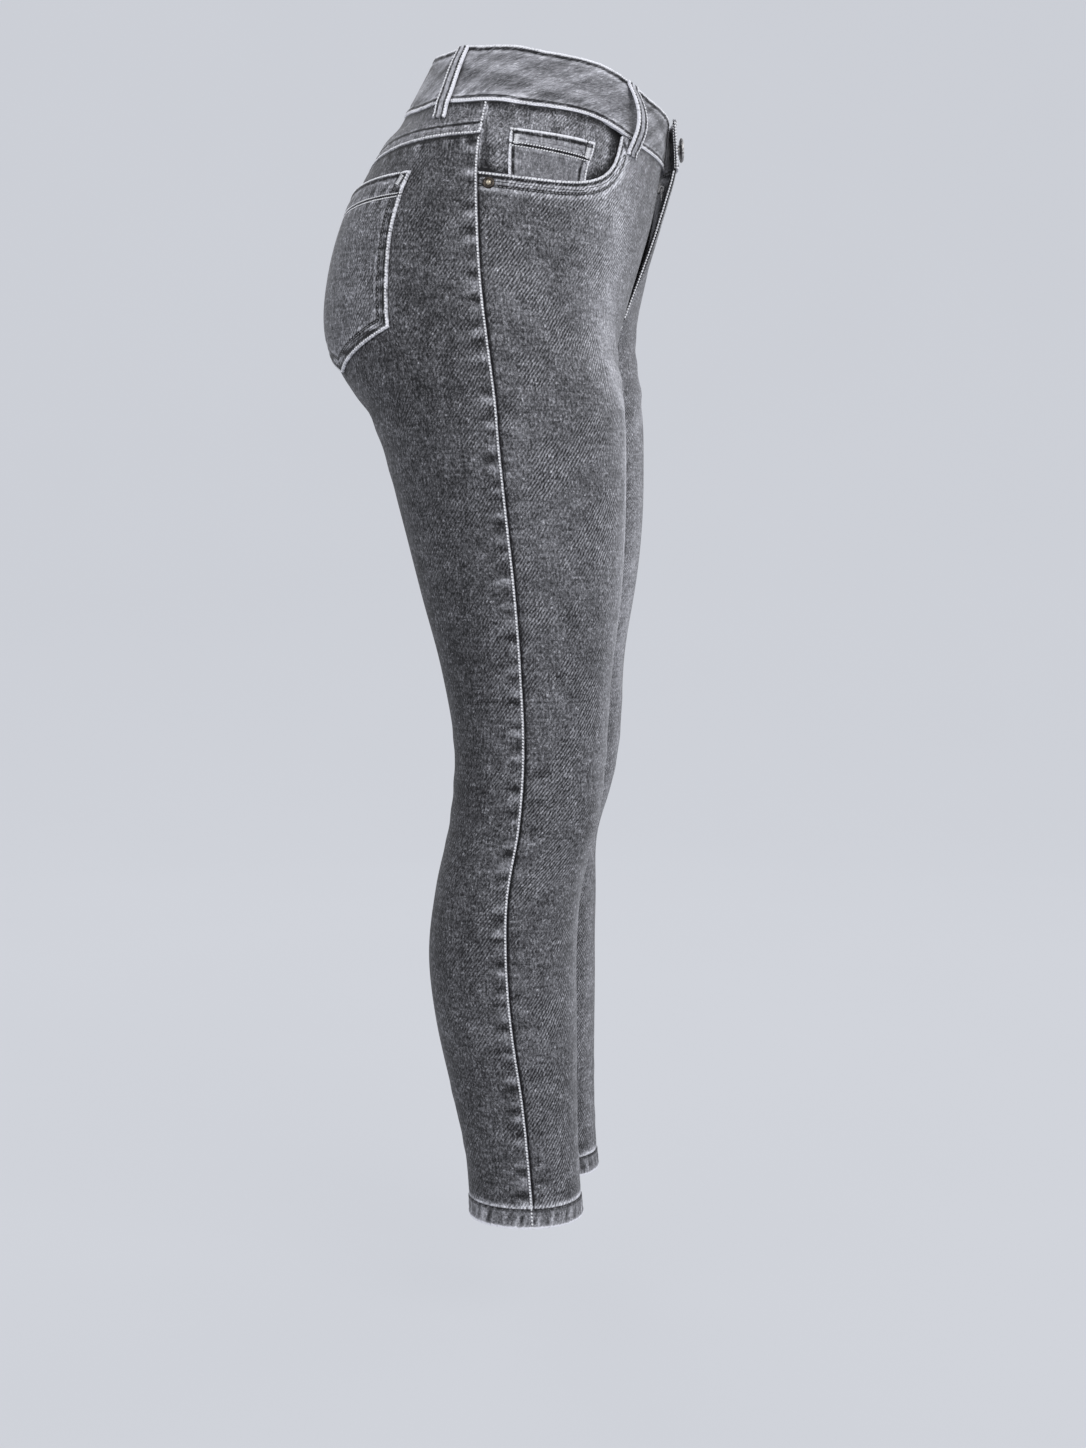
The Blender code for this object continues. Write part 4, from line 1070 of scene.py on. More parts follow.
@dataclass
class Legs(Wearing):
    """The four leg panels and the two yokes.

    stance gives, as (side, height, level, spread), where one leg's front is fuller or flatter than the
    other's. hem_rows are extra rows over the hem seam, and fork_rises the rows just over the crotch.
    """

    columns: int = 84
    row_step: float = 0.0031
    low_top: float = CROTCH + 0.131
    low_rows: int = 38
    upper_rows: int = 32
    yoke_rows: int = 20
    yoke_columns: int = 96
    hem_rows: tuple[float, ...] = (0.0010, 0.0021, 0.0044)
    fork_rises: tuple[float, ...] = (0.0008, 0.002, 0.0035, 0.0055, 0.008, 0.011)
    stance: tuple[tuple[int, float, float, float], ...] = (
        (LEFT, 0.0052, -0.224, 0.031),
        (RIGHT, 0.0040, -0.580, 0.050),
        (LEFT, -0.0050, -0.455, 0.070),
        (LEFT, -0.0054, -0.615, 0.035),
    )

    def levels(self) -> Grid:
        """The levels of the rows below the pockets."""
        low = np.arange(HEM_SEAM + SEAM_GAP, CROTCH - 0.5 * self.row_step, self.row_step)
        low = np.sort(np.hstack([low, low[0] + self.hem_rows]))
        high = np.linspace(CROTCH + 0.0145, self.low_top, self.low_rows)
        return np.hstack([low, CROTCH, CROTCH + np.array(self.fork_rises), high])

    def front(self, side: int) -> Sheet:
        """The front of one leg, cut away for the pocket mouth and shaped at the centre for the fly."""
        t = crowded(self.columns)
        level = np.repeat(self.levels()[:, None], len(t), 1)
        arc = SHAPE.seam(level) - from_seam(level, 1 - np.broadcast_to(t, level.shape), front_reach)
        mouth_front = float(SHAPE.seam(np.array([MOUTH_TOP]))[0]) - MOUTH_WIDTH
        edge_level, edge_back = mouth_curve(np.clip((t - 1 / 3) * 1.5, 0.0, 1.0))
        tops = np.where(t <= 1 / 3, MOUTH_TOP, edge_level)
        top_arc = np.where(t <= 1 / 3, mouth_front * 3 * t, SHAPE.seam(tops) - edge_back)
        rise = np.linspace(0.0, 1.0, self.upper_rows + 1)[1:, None]
        upper = mix(self.low_top, tops[None, :], rise)
        share = mix(t[None, :], (top_arc / SHAPE.seam(tops))[None, :], ease(rise))
        level = np.vstack([level, upper])
        arc = np.vstack([arc, SHAPE.seam(upper) * share])
        seam = SHAPE.seam(level)
        arc = np.minimum(seam - SEAM_GAP / 2, np.maximum(inseam_inset(level), arc))
        at_fly = ease((level - FLY_END) / FLY_FADE)
        shift = -FLAP_OVER if side == LEFT else RIGHT_SHORT
        arc = arc + shift * at_fly * np.maximum(0.0, 1 - arc / FLY_WIDTH)
        forward = seam - arc
        lift = fly_lift(level, arc) if side == LEFT else 0.0
        for owner, height, middle, spread in self.stance:
            swell = height * np.exp(-(((level - middle) / spread) ** 2))
            lift = lift + (owner == side) * (swell * ease(forward / 0.06) * ease(arc / 0.05))
        crease = folds(side, forward, level)
        from_mouth = self._off_mouth(forward, level)
        hold = ease(forward / HOLD) * ease((level - HEM_SEAM) / HOLD) * ease(from_mouth / 0.01)
        hold = hold * ease((BAND_SEAM - level) / 0.01) * ease(arc / 0.03 + (level < FLY_END - 0.01))
        sunk = -0.0007 * falling(forward, 0.003) * (level < SIDE_SEAM_TOP)
        small = puckers(level, forward, 3 + side, 0.021, 0.00035, 0.020)
        small = small + puckers(forward, from_mouth, 7, 0.016, 0.00035, 0.018)
        flap = (side == LEFT) * at_fly * falling(arc + FLAP_OVER - 0.003, 0.004)
        wash = leg_wash_and_painted_light(side, forward, level)
        # Painted shadow: a dark line on the front where the back panel's lapped edge at the side seam shades
        # it.
        wash = wash - PAINTED_EDGE_SHADE * falling(forward, 0.0028) * (level < SIDE_SEAM_TOP)
        wash = wash + 0.12 * hill(from_mouth, 0.006, 0.005) + 0.10 * hill(from_mouth, 0.0125, 0.006)
        # Painted shadow under the waistband.
        wash = wash - 0.22 * falling(BAND_SEAM - level, 0.0045)
        # Painted shade along the edges of both fronts at the fly.
        own = arc - RIGHT_SHORT if side == RIGHT else 2.5 * (arc + FLAP_OVER)
        wash = wash - PAINTED_EDGE_SHADE * (level > FLY_END) * falling(own, 0.0045)
        out = lift + crease * hold + small * hold + sunk
        wall = DENIM + flap * fold_depth(lift)
        rim = np.minimum(from_mouth, level - HEM_SEAM - 0.0006)
        ridge = crease * hold / 0.0012 + small / 0.00035
        row = nearest_row(from_mouth - 0.0032, from_mouth - 0.0098)
        return Sheet(sided("front", side), side, level, arc, out, wall, wash, rim, ridge, row)

    @staticmethod
    def _off_mouth(forward: Grid, level: Grid) -> Grid:
        """How far each place lies outside the pocket mouth's edge."""
        p = MOUTH_SQUARENESS
        f = np.maximum(forward, 1e-5) / MOUTH_WIDTH
        d = np.maximum(MOUTH_TOP - level, 1e-5) / MOUTH_DEPTH
        g = (f**p + d**p) ** (1 / p)
        slope = g ** (1 - p) * np.hypot(f ** (p - 1) / MOUTH_WIDTH, d ** (p - 1) / MOUTH_DEPTH)
        return np.maximum(0.0, (g - 1) / slope)

    def _back_arc(self, level: Grid, share: Grid) -> Grid:
        """The arc of a place on the back: 0 is the side seam and 1 the centre back or the inseam."""
        seam, length = SHAPE.seam(level), SHAPE.length(level)
        arc = seam + from_seam(level, share, back_reach)
        return np.minimum(length - inseam_inset(level), np.maximum(seam + SEAM_GAP / 2, arc))

    def back(self, side: int) -> Sheet:
        """The back of one leg, up to the yoke seam."""
        t = crowded(self.columns)
        level = np.repeat(self.levels()[:, None], len(t), 1)
        rise = np.linspace(0.0, 1.0, self.upper_rows + 1)[1:, None]
        level = np.vstack([level, mix(self.low_top, (yoke_level(t) - SEAM_GAP / 2)[None, :], rise)])
        share = np.broadcast_to(t, level.shape)
        arc = self._back_arc(level, share)
        behind = arc - SHAPE.seam(level)
        crease = folds(side, -behind, level)
        to_yoke = yoke_level(share) - level
        hold = ease(behind / HOLD) * ease((level - HEM_SEAM) / HOLD) * ease(to_yoke / HOLD)
        roll = 0.0007 * hill(behind, 0.0016, 0.0028)
        small = puckers(level, behind, 5 + side, 0.0165, 0.0006, 0.016)
        small = small + puckers(arc, to_yoke, 11, 0.014, 0.0004, 0.014)
        tucked = -0.0005 * falling(to_yoke, 0.003)
        # Painted shadow under the yoke seam.
        painted_yoke_shadow = -0.36 * falling(to_yoke - 0.0008, 0.0034)
        out = crease * hold + small * ease((level - HEM_SEAM) / 0.01) + roll + tucked
        wash = leg_wash_and_painted_light(side, -behind, level) + painted_yoke_shadow
        rim = np.minimum(behind, level - HEM_SEAM - 0.0006)
        ridge = crease * hold / 0.0012 + small / 0.00014
        row = arc - SHAPE.length(level) + 0.0036 + 1.0 * (level < CROTCH + 0.004)
        return Sheet(sided("back", side), side, level, arc, out, DENIM, wash, rim, ridge, row)

    def yoke(self, side: int) -> Sheet:
        """The wedge between the back panel and the waistband."""
        t = crowded(self.yoke_columns, 0.35)
        rise = np.linspace(0.0, 1.0, self.yoke_rows + 1)[:, None]
        level = mix((yoke_level(t) + SEAM_GAP / 2)[None, :], MOUTH_TOP, rise)
        share = np.broadcast_to(t, level.shape)
        arc = self._back_arc(level, share)
        behind, above = arc - SHAPE.seam(level), level - yoke_level(share)
        small = puckers(arc, above, 13, 0.013, 0.0004, 0.015)
        small = small + puckers(level, behind, 5 + side, 0.0135, 0.0005, 0.02)
        roll = 0.0007 * hill(above, 0.0016, 0.0026) + 0.0006 * hill(behind, 0.0016, 0.0026)
        # The falling term is painted shadow under the waistband.
        wash = 0.02 - 0.30 * falling(BAND_SEAM - level, 0.0055) + 0.05 * hill(above, 0.005, 0.005)
        rim, ridge, row = np.minimum(above, behind), small / 0.00035, above - 0.0092
        return Sheet(sided("yoke", side), side, level, arc, small + roll, DENIM, wash, rim, ridge, row)

    def build(self) -> None:
        """Makes all six pieces."""
        for side, word in SIDES:
            front = self.keep(self.front(side).build(Finish.LEG), [f"front_{word}"], "denim")
            back = self.keep(self.back(side).build(Finish.LEG), [f"back_{word}"], "denim")
            yoke = self.keep(self.yoke(side).build(Finish.YOKE), [f"yoke_{word}"], "denim")


@dataclass
class Pockets(Wearing):
    """The facings behind the front pocket mouths, the coin pocket and the two back pockets."""

    def facing(self, side: int) -> Sheet:
        """The cloth that shows in the pocket mouth."""
        rise, t = np.linspace(0.0, 1.0, 40)[:, None], np.linspace(0.0, 1.0, 61)[None, :]
        level = mix(MOUTH_TOP - MOUTH_DEPTH - FACING_MARGIN, BAND_SEAM + 0.005, rise + 0 * t)
        forward = mix(MOUTH_WIDTH + FACING_MARGIN, SEAM_GAP / 2, t + 0 * rise)
        near = np.clip(level - mouth_level(forward), 0.0, 1.0)
        inside = np.minimum(near, np.maximum(0.0, MOUTH_WIDTH - forward))
        low = facing_out(level, forward)
        under_band = np.minimum(low, -0.0024 * ease((level - BAND_SEAM) / 0.0015))
        below_band = low + puckers(forward, BAND_SEAM - level, 17, 0.018, 0.0003, 0.02)
        # Painted shade where the front's mouth edge overhangs the facing, under the waistband and towards the
        # side seam.
        wash = 0.09 - 0.34 * falling(inside, 0.012) - 0.36 * falling(BAND_SEAM - level, 0.008)
        wash = wash - 0.14 * falling(forward, 0.020) + 0.09 * wobble(forward + 0.3 * level, 73, 0.019)
        return Sheet(
            sided("pocket_facing", side),
            side,
            level,
            SHAPE.seam(level) - forward,
            np.where(level > MOUTH_TOP, under_band, below_band),
            FACING_WALL,
            wash + 0.07 * wobble(level - 0.5 * forward, 83, 0.023),
            np.where(level > -0.1, forward, 1.0),
        )

    @staticmethod
    def _patch(corners: Sequence[tuple[float, float]], rows: int, cols: int) -> tuple[Grid, Grid]:
        """A grid over a patch whose foot may have a point.

        Args:
            corners: (across, level) from one foot round the bottom to the other, then the two top corners.
            rows: how many steps there are up the patch.
            cols: how many there are across it.

        Returns:
            The across and the level of each place.
        """
        foot, top = np.array(corners[:-2]), np.array([corners[-1], corners[-2]])
        t = crowded(cols, 0.45)
        run = np.hstack([0.0, np.cumsum(np.hypot(*np.diff(foot, axis=0).T))])
        foot_x, foot_y = (np.interp(t * run[-1], run, foot[:, k]) for k in (0, 1))
        rise = crowded(rows, 0.45)[:, None]
        across = mix(foot_x[None, :], mix(top[0, 0], top[1, 0], t)[None, :], rise)
        level = mix(foot_y[None, :], mix(top[0, 1], top[1, 1], t)[None, :], rise)
        return across, level

    @staticmethod
    def _off_edges(across: Grid, level: Grid, corners: Sequence[tuple[float, float]]) -> list[Grid]:
        """How far each place lies inside each edge of a convex outline, in order from the first corner."""
        made = []
        for (x0, y0), (x1, y1) in zip(corners, [*corners[1:], corners[0]]):
            run = math.hypot(x1 - x0, y1 - y0)
            made.append(((x1 - x0) * (level - y0) - (y1 - y0) * (across - x0)) / run)
        return made

    def coin(self) -> Sheet:
        """The small patch pocket on the right facing, with its folded top."""
        across, level = self._patch(COIN_POCKET, 44, 64)
        off = self._off_edges(across, level, COIN_POCKET)
        edge = np.min(off, axis=0)
        folded = ease((0.0125 - off[2]) / 0.002)
        bead = 0.0005 * hill(edge, 0.002, 0.0025)
        small = puckers(level, off[1], 19, 0.012, 0.0003, 0.014)
        small = small + puckers(level, off[3], 23, 0.012, 0.0003, 0.014)
        arc, wall = SHAPE.seam(level) - across, FACING_WALL + 0.0002
        out = facing_out(level, across) + SEAM_GAP + FACING_WALL + 0.0006 * folded + small + bead
        wash = -0.06 + 0.04 * folded - 0.05 * hill(edge, 0.0045, 0.004)
        row = nearest_row(off[2] - 0.0031, off[2] - 0.0118, off[1] - 0.0068, off[3] - 0.0034)
        return Sheet("coin_pocket_cloth", RIGHT, level, arc, out, wall, wash, edge, small / 0.00025, row)

    def back(self, side: int) -> Sheet:
        """A back pocket with a pointed foot and a folded hem along its mouth."""
        across, level = self._patch(BACK_POCKET, 84, 88)
        off = self._off_edges(across, level, BACK_POCKET)
        edge = np.min(off, axis=0)
        top, sides = off[3], np.min([off[k] for k in (0, 1, 2, 4)], axis=0)
        small = puckers(level, sides, 29 + side, 0.0100, 0.0004, 0.015)
        small = small + puckers(across, np.abs(top - 0.016), 31, 0.013, 0.0003, 0.012)
        fold = 0.0008 * ease((0.0165 - top) / 0.002) + 0.0006 * hill(edge, 0.002, 0.0025)
        groove = -0.0005 * hill(sides, 0.0085, 0.0014)
        arc, out = SHAPE.length(level) - across, SEAM_GAP + POCKET_WALL + 0.0002 + fold + small + groove
        # The hill term is painted shadow under the folded hem.
        wash = 0.03 - 0.16 * hill(top, 0.0185, 0.0022)
        wash = wash - 0.11 * hill(sides, 0.0058, 0.0036) * (1 + 1.3 * wobble(level, 97, 0.0105))
        name, ridge = sided("back_pocket", side), small / 0.00010
        row = nearest_row(sides - 0.0089, top - 0.0170, edge - 0.0034)
        return Sheet(name, side, level, arc, out, POCKET_WALL, wash, edge, ridge, row)

    def build(self) -> None:
        """Makes all five pieces."""
        for side, word in SIDES:
            facing = self.keep(self.facing(side).build(Finish.YOKE), [f"pocket_facing_{word}"], "denim")
            pocket = self.keep(self.back(side).build(Finish.YOKE), [f"back_pocket_{word}"], "denim")
        coin = self.keep(self.coin().build(Finish.BAND), ["coin_pocket"], "worn_denim")


@dataclass(frozen=True)
class Loop:
    """A belt loop.

    node is the CAD node, arc its distance from the centre front, or None at the centre back, lean how far its
    foot leans to the front, and stand_off how far its middle stands off the band.
    """

    node: str
    side: int
    arc: float | None
    lean: float
    stand_off: float

    def middle(self, level: Grid, t: Grid) -> Grid:
        """The arc of its middle line at each level, t from 0 at its foot to 1 at its top."""
        return SHAPE.length(level) if self.arc is None else self.arc - self.lean * (1 - t)


@dataclass
class Waist(Wearing):
    """The waistband, its five belt loops and the two hems.

    near is the arc up to which the band's columns lie closer.
    """

    band_rows: int = 22
    near: float = 0.137
    hem_columns: int = 180
    loops: tuple[Loop, ...] = (
        Loop("belt_loop_front_right", RIGHT, 0.094, 0.004, 0.0080),
        Loop("belt_loop_front_left", LEFT, 0.094, 0.004, 0.0080),
        Loop("belt_loop_side_right", RIGHT, 0.240, -0.021, 0.0022),
        Loop("belt_loop_side_left", LEFT, 0.240, -0.021, 0.0022),
        Loop("belt_loop_back", RIGHT, None, 0.0, 0.0022),
    )

    def band(self) -> Sheet:
        """One band from the left end at the fly, round the back, to the right end under it."""
        rows = crowded(self.band_rows, 0.5)[:, None]
        levels = mix(BAND_SEAM, WAIST_TOP, rows)
        far = SHAPE.length(levels)
        near = np.linspace(-FLAP_OVER, self.near, 54)[None, :-1] + 0 * levels
        left = mix(self.near, far, np.linspace(0.0, 1.0, 78)[None, :])
        right = left[:, -2::-1]
        tail = np.linspace(self.near, -UNDERLAP, 60)[None, 1:] + 0 * levels
        arc = np.hstack([near, left, right, tail])
        side = np.hstack([0 * near + 1, 0 * left + 1, 0 * right - 1, 0 * tail - 1])
        level = np.broadcast_to(levels, arc.shape)
        lift = np.where(side > 0, tab_lift(level, arc), 0.0)
        run = np.where(side > 0, arc, 2 * far - arc)
        low, high = level - BAND_SEAM, WAIST_TOP - level
        soft = 0.0006 * hill(low, 0.003, 0.004) + 0.0005 * hill(high, 0.0022, 0.003)
        groove = -0.0005 * hill(low, 0.0075, 0.0016) - 0.0004 * hill(high, 0.0055, 0.0014)
        small = puckers(run, low, 37, 0.0085, 0.00045, 0.014) + puckers(run, high, 41, 0.012, 0.0004, 0.012)
        slanted = puckers(run - 0.9 * low, low, 101, 0.013, 0.0006, 0.026)
        small = small + slanted * (0.5 + 0.5 * wobble(run, 103, 0.11))
        streak = 0.0003 * wobble(run + 0.6 * level, 43, 0.017)
        out = BAND_PROUD + lift + soft + groove + small + streak
        # The hill term is painted shade in the groove over the lower edge.
        wash = 0.07 * wobble(run + 0.3 * level, 47, 0.016) - 0.06 * hill(low, 0.0065, 0.0030)
        wash = wash + 0.10 * wobble(run - 0.3 * level, 59, 0.045)
        # The falling term is painted shade along the end of the left tab at the fly.
        wash = wash + 0.12 * wobble(level + 0.15 * run, 71, 0.021) - 0.40 * falling(run + FLAP_OVER, 0.0016)
        rim, ridge, row = np.minimum(low, high), small / 0.0004, nearest_row(high - 0.0034, low - 0.0036)
        cut = np.stack([-run, level], -1)
        return Sheet("waistband_cloth", side, level, arc, out, BAND_WALL, wash, rim, ridge, row, cut)

    def loop(self, loop: Loop) -> bpy.types.Object:
        """A strip sewn down at both ends, standing off the band between them."""
        t = np.linspace(0.0, 1.0, 33)[:, None]
        level = mix(LOOP_FOOT, LOOP_TOP, t)
        across = np.linspace(-LOOP_HALF, LOOP_HALF, 17)[None, :] + 0 * level
        owner: int | Grid = loop.side
        spot = loop.middle(level, t) + across
        if loop.arc is None:
            owner = np.where(across < 0, LEFT, RIGHT)
            spot = loop.middle(level, t) - np.abs(across)
        bow = np.sin(np.pi * np.clip((t - 0.05) / 0.9, 0.0, 1.0)) ** 0.9
        over_band = ease((level - BAND_SEAM + 0.012) / 0.010)
        edge = LOOP_HALF - np.abs(across)
        ribs = 0.0006 * hill(edge, 0.0012, 0.0013) + 0.0004 * hill(edge, 0.0042, 0.0012)
        out = LAY_GAP + BAND_PROUD * over_band + loop.stand_off * bow + LOOP_WALL + ribs
        level = level + 0 * across
        name, cut = loop.node + "_cloth", np.stack([across, level], -1)
        sheet = Sheet(name, owner, level, spot, out, LOOP_WALL, 0.02, edge, row=edge - 0.0029, cut=cut)
        return self.keep(sheet.build(Finish.BAND), [loop.node], "worn_denim")

    def hem(self, side: int) -> Sheet:
        """The turned-up hem, roped by its chain stitch."""
        levels = mix(HEM_END, HEM_SEAM, crowded(16, 0.3)[:, None])
        length = SHAPE.length(levels)
        arc = length * (np.arange(self.hem_columns)[None, :] / self.hem_columns)
        level = levels + 0 * arc
        up = level - HEM_END
        strong = (0.8 + 0.5 * wobble(arc, 89, 0.031)) * hill(up, 0.0070, 0.0085)
        rope = wobble(arc + 0.25 * up, 53, 0.0092) * strong
        dip = -0.0007 * hill(level, HEM_SEAM, 0.002)
        full = length * np.linspace(0.0, 1.0, self.hem_columns + 1)[None, :]
        cut = np.stack([-side * (SHAPE.seam(levels) - full), levels + 0 * full], -1)
        out = BAND_PROUD + 0.00055 * rope + dip + 0.0006 * hill(up, 0.0015, 0.003)
        dark = (0.24 + 0.20 * wobble(arc, 79, 0.006)) * falling(HEM_SEAM - level, 0.0030)
        wash = 0.30 * rope + 0.18 * hill(up, 0.0012, 0.0026) - dark
        name, ridge = sided("hem", side), rope * 0.5
        return Sheet(name, side, level, arc, out, BAND_WALL, wash, up, ridge, cut=cut, closed=True)

    def build(self) -> None:
        """Makes the band, the loops and the hems."""
        band = self.keep(self.band().build(Finish.BAND), ["waistband"], "worn_denim")
        for loop in self.loops:
            made = self.loop(loop)
        for side, word in SIDES:
            hem = self.keep(self.hem(side).build(Finish.HEM), [f"hem_{word}"], "denim")


@dataclass
class Fly(Wearing):
    """What shows between the two fronts: the shield, the zip tape and the metal."""

    def strip(self, name: str, low: float, high: float, sunk: float, wall: float, steps: int) -> Sheet:
        """A strip down the centre front.

        Args:
            name: the piece's name.
            low: its edge on the wearer's right, below 0.
            high: its edge on the left.
            sunk: how far its outer face lies under the worn shape.
            wall: its thickness.
            steps: how many columns it has.

        Returns:
            The sheet.
        """
        level = np.linspace(ZIP_BOTTOM, ZIP_TOP, 48)[:, None]
        arc = np.linspace(low, high, steps + 1)[None, :] + 0 * level
        level = level + 0 * arc
        cut = np.stack([-arc, level], -1)
        edge = np.minimum(arc - low, high - arc)
        return Sheet(name, LEFT, level, arc, 0 * arc - sunk, wall, 0.0, edge, cut=cut)

    def build(self) -> None:
        """Makes the strips and dresses the CAD metal."""
        tape = self.strip("zip_tape_cloth", -ZIP_TAPE_HALF, ZIP_TAPE_HALF, ZIP_TAPE_SUNK, ZIP_TAPE_WALL, 16)
        made = self.keep(tape.build(Finish.TAPE, Finish.TAPE), ["zip_tape"], "zip_tape")
        shield = self.strip("fly_shield_cloth", -SHIELD_RIGHT, SHIELD_LEFT, SHIELD_SUNK, SHIELD_WALL, 28)
        made = self.keep(shield.build(Finish.LEG), ["fly_shield"], "denim")
        for name in ("zip_slider", "zip_pull", "button"):
            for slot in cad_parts[name].material_slots:
                slot.material = Finish.NICKEL.material
            log.info("%s: dressed", name)


class StitchTree:
    """A Geometry Nodes tree that sews a path: one thread float for each step, square to the cloth."""

    NAME = "sewn_row"
    SIZES = ("Pitch", "Length", "Width", "Height", "Turn", "Waver")
    CHANCE_LOW, CHANCE_HIGH, CHANCE_MADE = 2, 3, 1

    @classmethod
    def get(cls) -> bpy.types.GeometryNodeTree:
        """The tree, built when it is first asked for."""
        return bpy.data.node_groups.get(cls.NAME) or cls._build()

    @classmethod
    def _build(cls) -> bpy.types.GeometryNodeTree:
        """Builds the tree with its named inputs."""
        tree = bpy.data.node_groups.new(cls.NAME, "GeometryNodeTree")
        face = tree.interface
        face.new_socket("Geometry", in_out="INPUT", socket_type="NodeSocketGeometry")
        for name in cls.SIZES:
            face.new_socket(name, in_out="INPUT", socket_type="NodeSocketFloat")
        face.new_socket("Seed", in_out="INPUT", socket_type="NodeSocketInt")
        face.new_socket("Thread", in_out="INPUT", socket_type="NodeSocketMaterial")
        face.new_socket("Geometry", in_out="OUTPUT", socket_type="NodeSocketGeometry")

        def node(kind: str, **settings: object) -> bpy.types.GeometryNode:
            """A node with its settings."""
            made = tree.nodes.new(kind)
            for key, value in settings.items():
                setattr(made, key, value)
            return made

        given, result = node("NodeGroupInput"), node("NodeGroupOutput")
        line, spaced = node("GeometryNodeMeshToCurve"), node("GeometryNodeResampleCurve", mode="LENGTH")
        bead, size = node("GeometryNodeMeshIcoSphere"), node("ShaderNodeCombineXYZ")
        bead.inputs["Radius"].default_value = 0.5
        bead.inputs["Subdivisions"].default_value = 1
        along, outward = node("GeometryNodeInputTangent"), node("GeometryNodeInputNamedAttribute")
        outward.data_type = "FLOAT_VECTOR"
        outward.inputs["Name"].default_value = "outward"
        first = node("FunctionNodeAlignRotationToVector", axis="X")
        second = node("FunctionNodeAlignRotationToVector", axis="Z", pivot_axis="X")
        chance = node("FunctionNodeRandomValue", data_type="FLOAT")
        low, turn = (node("ShaderNodeMath", operation=kind) for kind in ("MULTIPLY", "ADD"))
        low.inputs[1].default_value = -1.0
        spin, as_turn = node("ShaderNodeCombineXYZ"), node("FunctionNodeEulerToRotation")
        turned = node("FunctionNodeRotateRotation", rotation_space="LOCAL")
        sewn, real = node("GeometryNodeInstanceOnPoints"), node("GeometryNodeRealizeInstances")
        smooth, dyed = node("GeometryNodeSetShadeSmooth"), node("GeometryNodeSetMaterial")
        for start, out, end, into in (
            (given, "Geometry", line, "Mesh"),
            (line, "Curve", spaced, "Curve"),
            (given, "Pitch", spaced, "Length"),
            (given, "Length", size, "X"),
            (given, "Width", size, "Y"),
            (given, "Height", size, "Z"),
            (along, 0, first, "Vector"),
            (first, 0, second, "Rotation"),
            (outward, "Attribute", second, "Vector"),
            (given, "Waver", low, 0),
            (low, 0, chance, cls.CHANCE_LOW),
            (given, "Waver", chance, cls.CHANCE_HIGH),
            (given, "Seed", chance, "Seed"),
            (given, "Turn", turn, 0),
            (chance, cls.CHANCE_MADE, turn, 1),
            (turn, 0, spin, "Z"),
            (spin, 0, as_turn, 0),
            (second, 0, turned, "Rotation"),
            (as_turn, 0, turned, "Rotate By"),
            (spaced, "Curve", sewn, "Points"),
            (bead, "Mesh", sewn, "Instance"),
            (turned, 0, sewn, "Rotation"),
            (size, 0, sewn, "Scale"),
            (sewn, 0, real, 0),
            (real, 0, smooth, "Geometry"),
            (smooth, 0, dyed, "Geometry"),
            (given, "Thread", dyed, "Material"),
            (dyed, 0, result, 0),
        ):
            tree.links.new(start.outputs[out], end.inputs[into])
        return tree


@dataclass(frozen=True)
class Row:
    """How one kind of sewing is set: its thread and its sizes in metres, with turn in radians."""

    name: str
    thread: Finish
    pitch: float
    length: float
    width: float
    height: float
    turn: float = 0.0
    waver: float = 0.06

    def sew(self, paths: Sequence[tuple[Grid, Grid]], seed: int) -> bpy.types.Object:
        """Sews every path.

        Args:
            paths: (points, outward directions) of each path.
            seed: fixes the small unevenness.

        Returns:
            All the stitches as one plain piece.
        """
        counts = [len(points) for points, _ in paths]
        starts = np.hstack([0, np.cumsum(counts)])
        steps = [np.arange(a, b - 1) for a, b in zip(starts, starts[1:])]
        edges = np.vstack([np.stack([step, step + 1], 1) for step in steps])
        mesh = bpy.data.meshes.new(self.name + "_path")
        mesh.from_pydata(np.vstack([p for p, _ in paths]).tolist(), edges.tolist(), [])
        outward = mesh.attributes.new("outward", "FLOAT_VECTOR", "POINT")
        outward.data.foreach_set("vector", np.vstack([n for _, n in paths]).astype(np.float32).ravel())
        source = placed(self.name + "_path", mesh)
        tree = StitchTree.get()
        modifier = source.modifiers.new("sew", "NODES")
        modifier.node_group = tree
        values = {name: getattr(self, name.lower()) for name in StitchTree.SIZES}
        values |= {"Seed": seed, "Thread": self.thread.material}
        for item in tree.interface.items_tree:
            if item.item_type == "SOCKET" and item.in_out == "INPUT" and item.name in values:
                modifier[item.identifier] = values[item.name]
        graph = bpy.context.evaluated_depsgraph_get()
        baked = bpy.data.meshes.new_from_object(source.evaluated_get(graph))
        baked.name = self.name
        bpy.data.objects.remove(source)
        if "outward" in baked.attributes:
            baked.attributes.remove(baked.attributes["outward"])
        return placed(self.name, baked)


class Cord(Enum):
    """The kinds of sewing on the jeans."""

    EDGE = Row("edge_stitching", Finish.PALE_THREAD, 0.0024, 0.0022, 0.0016, 0.0011, 0.42)
    FINE = Row("fine_pale_stitching", Finish.PALE_THREAD, 0.0021, 0.0020, 0.0012, 0.0008, 0.3)
    FOLD = Row("folded_edge_stitching", Finish.PALE_THREAD, 0.0023, 0.0026, 0.0016, 0.0019)
    SECOND = Row("second_row_stitching", Finish.GREY_THREAD, 0.0030, 0.0026, 0.0007, 0.0006)
    DARK = Row("dark_stitching", Finish.DARK_THREAD, 0.0030, 0.0025, 0.0009, 0.0006)
    TACK = Row("bar_tacks", Finish.PALE_THREAD, 0.0008, 0.0056, 0.0008, 0.0009, math.pi / 2, 0.12)


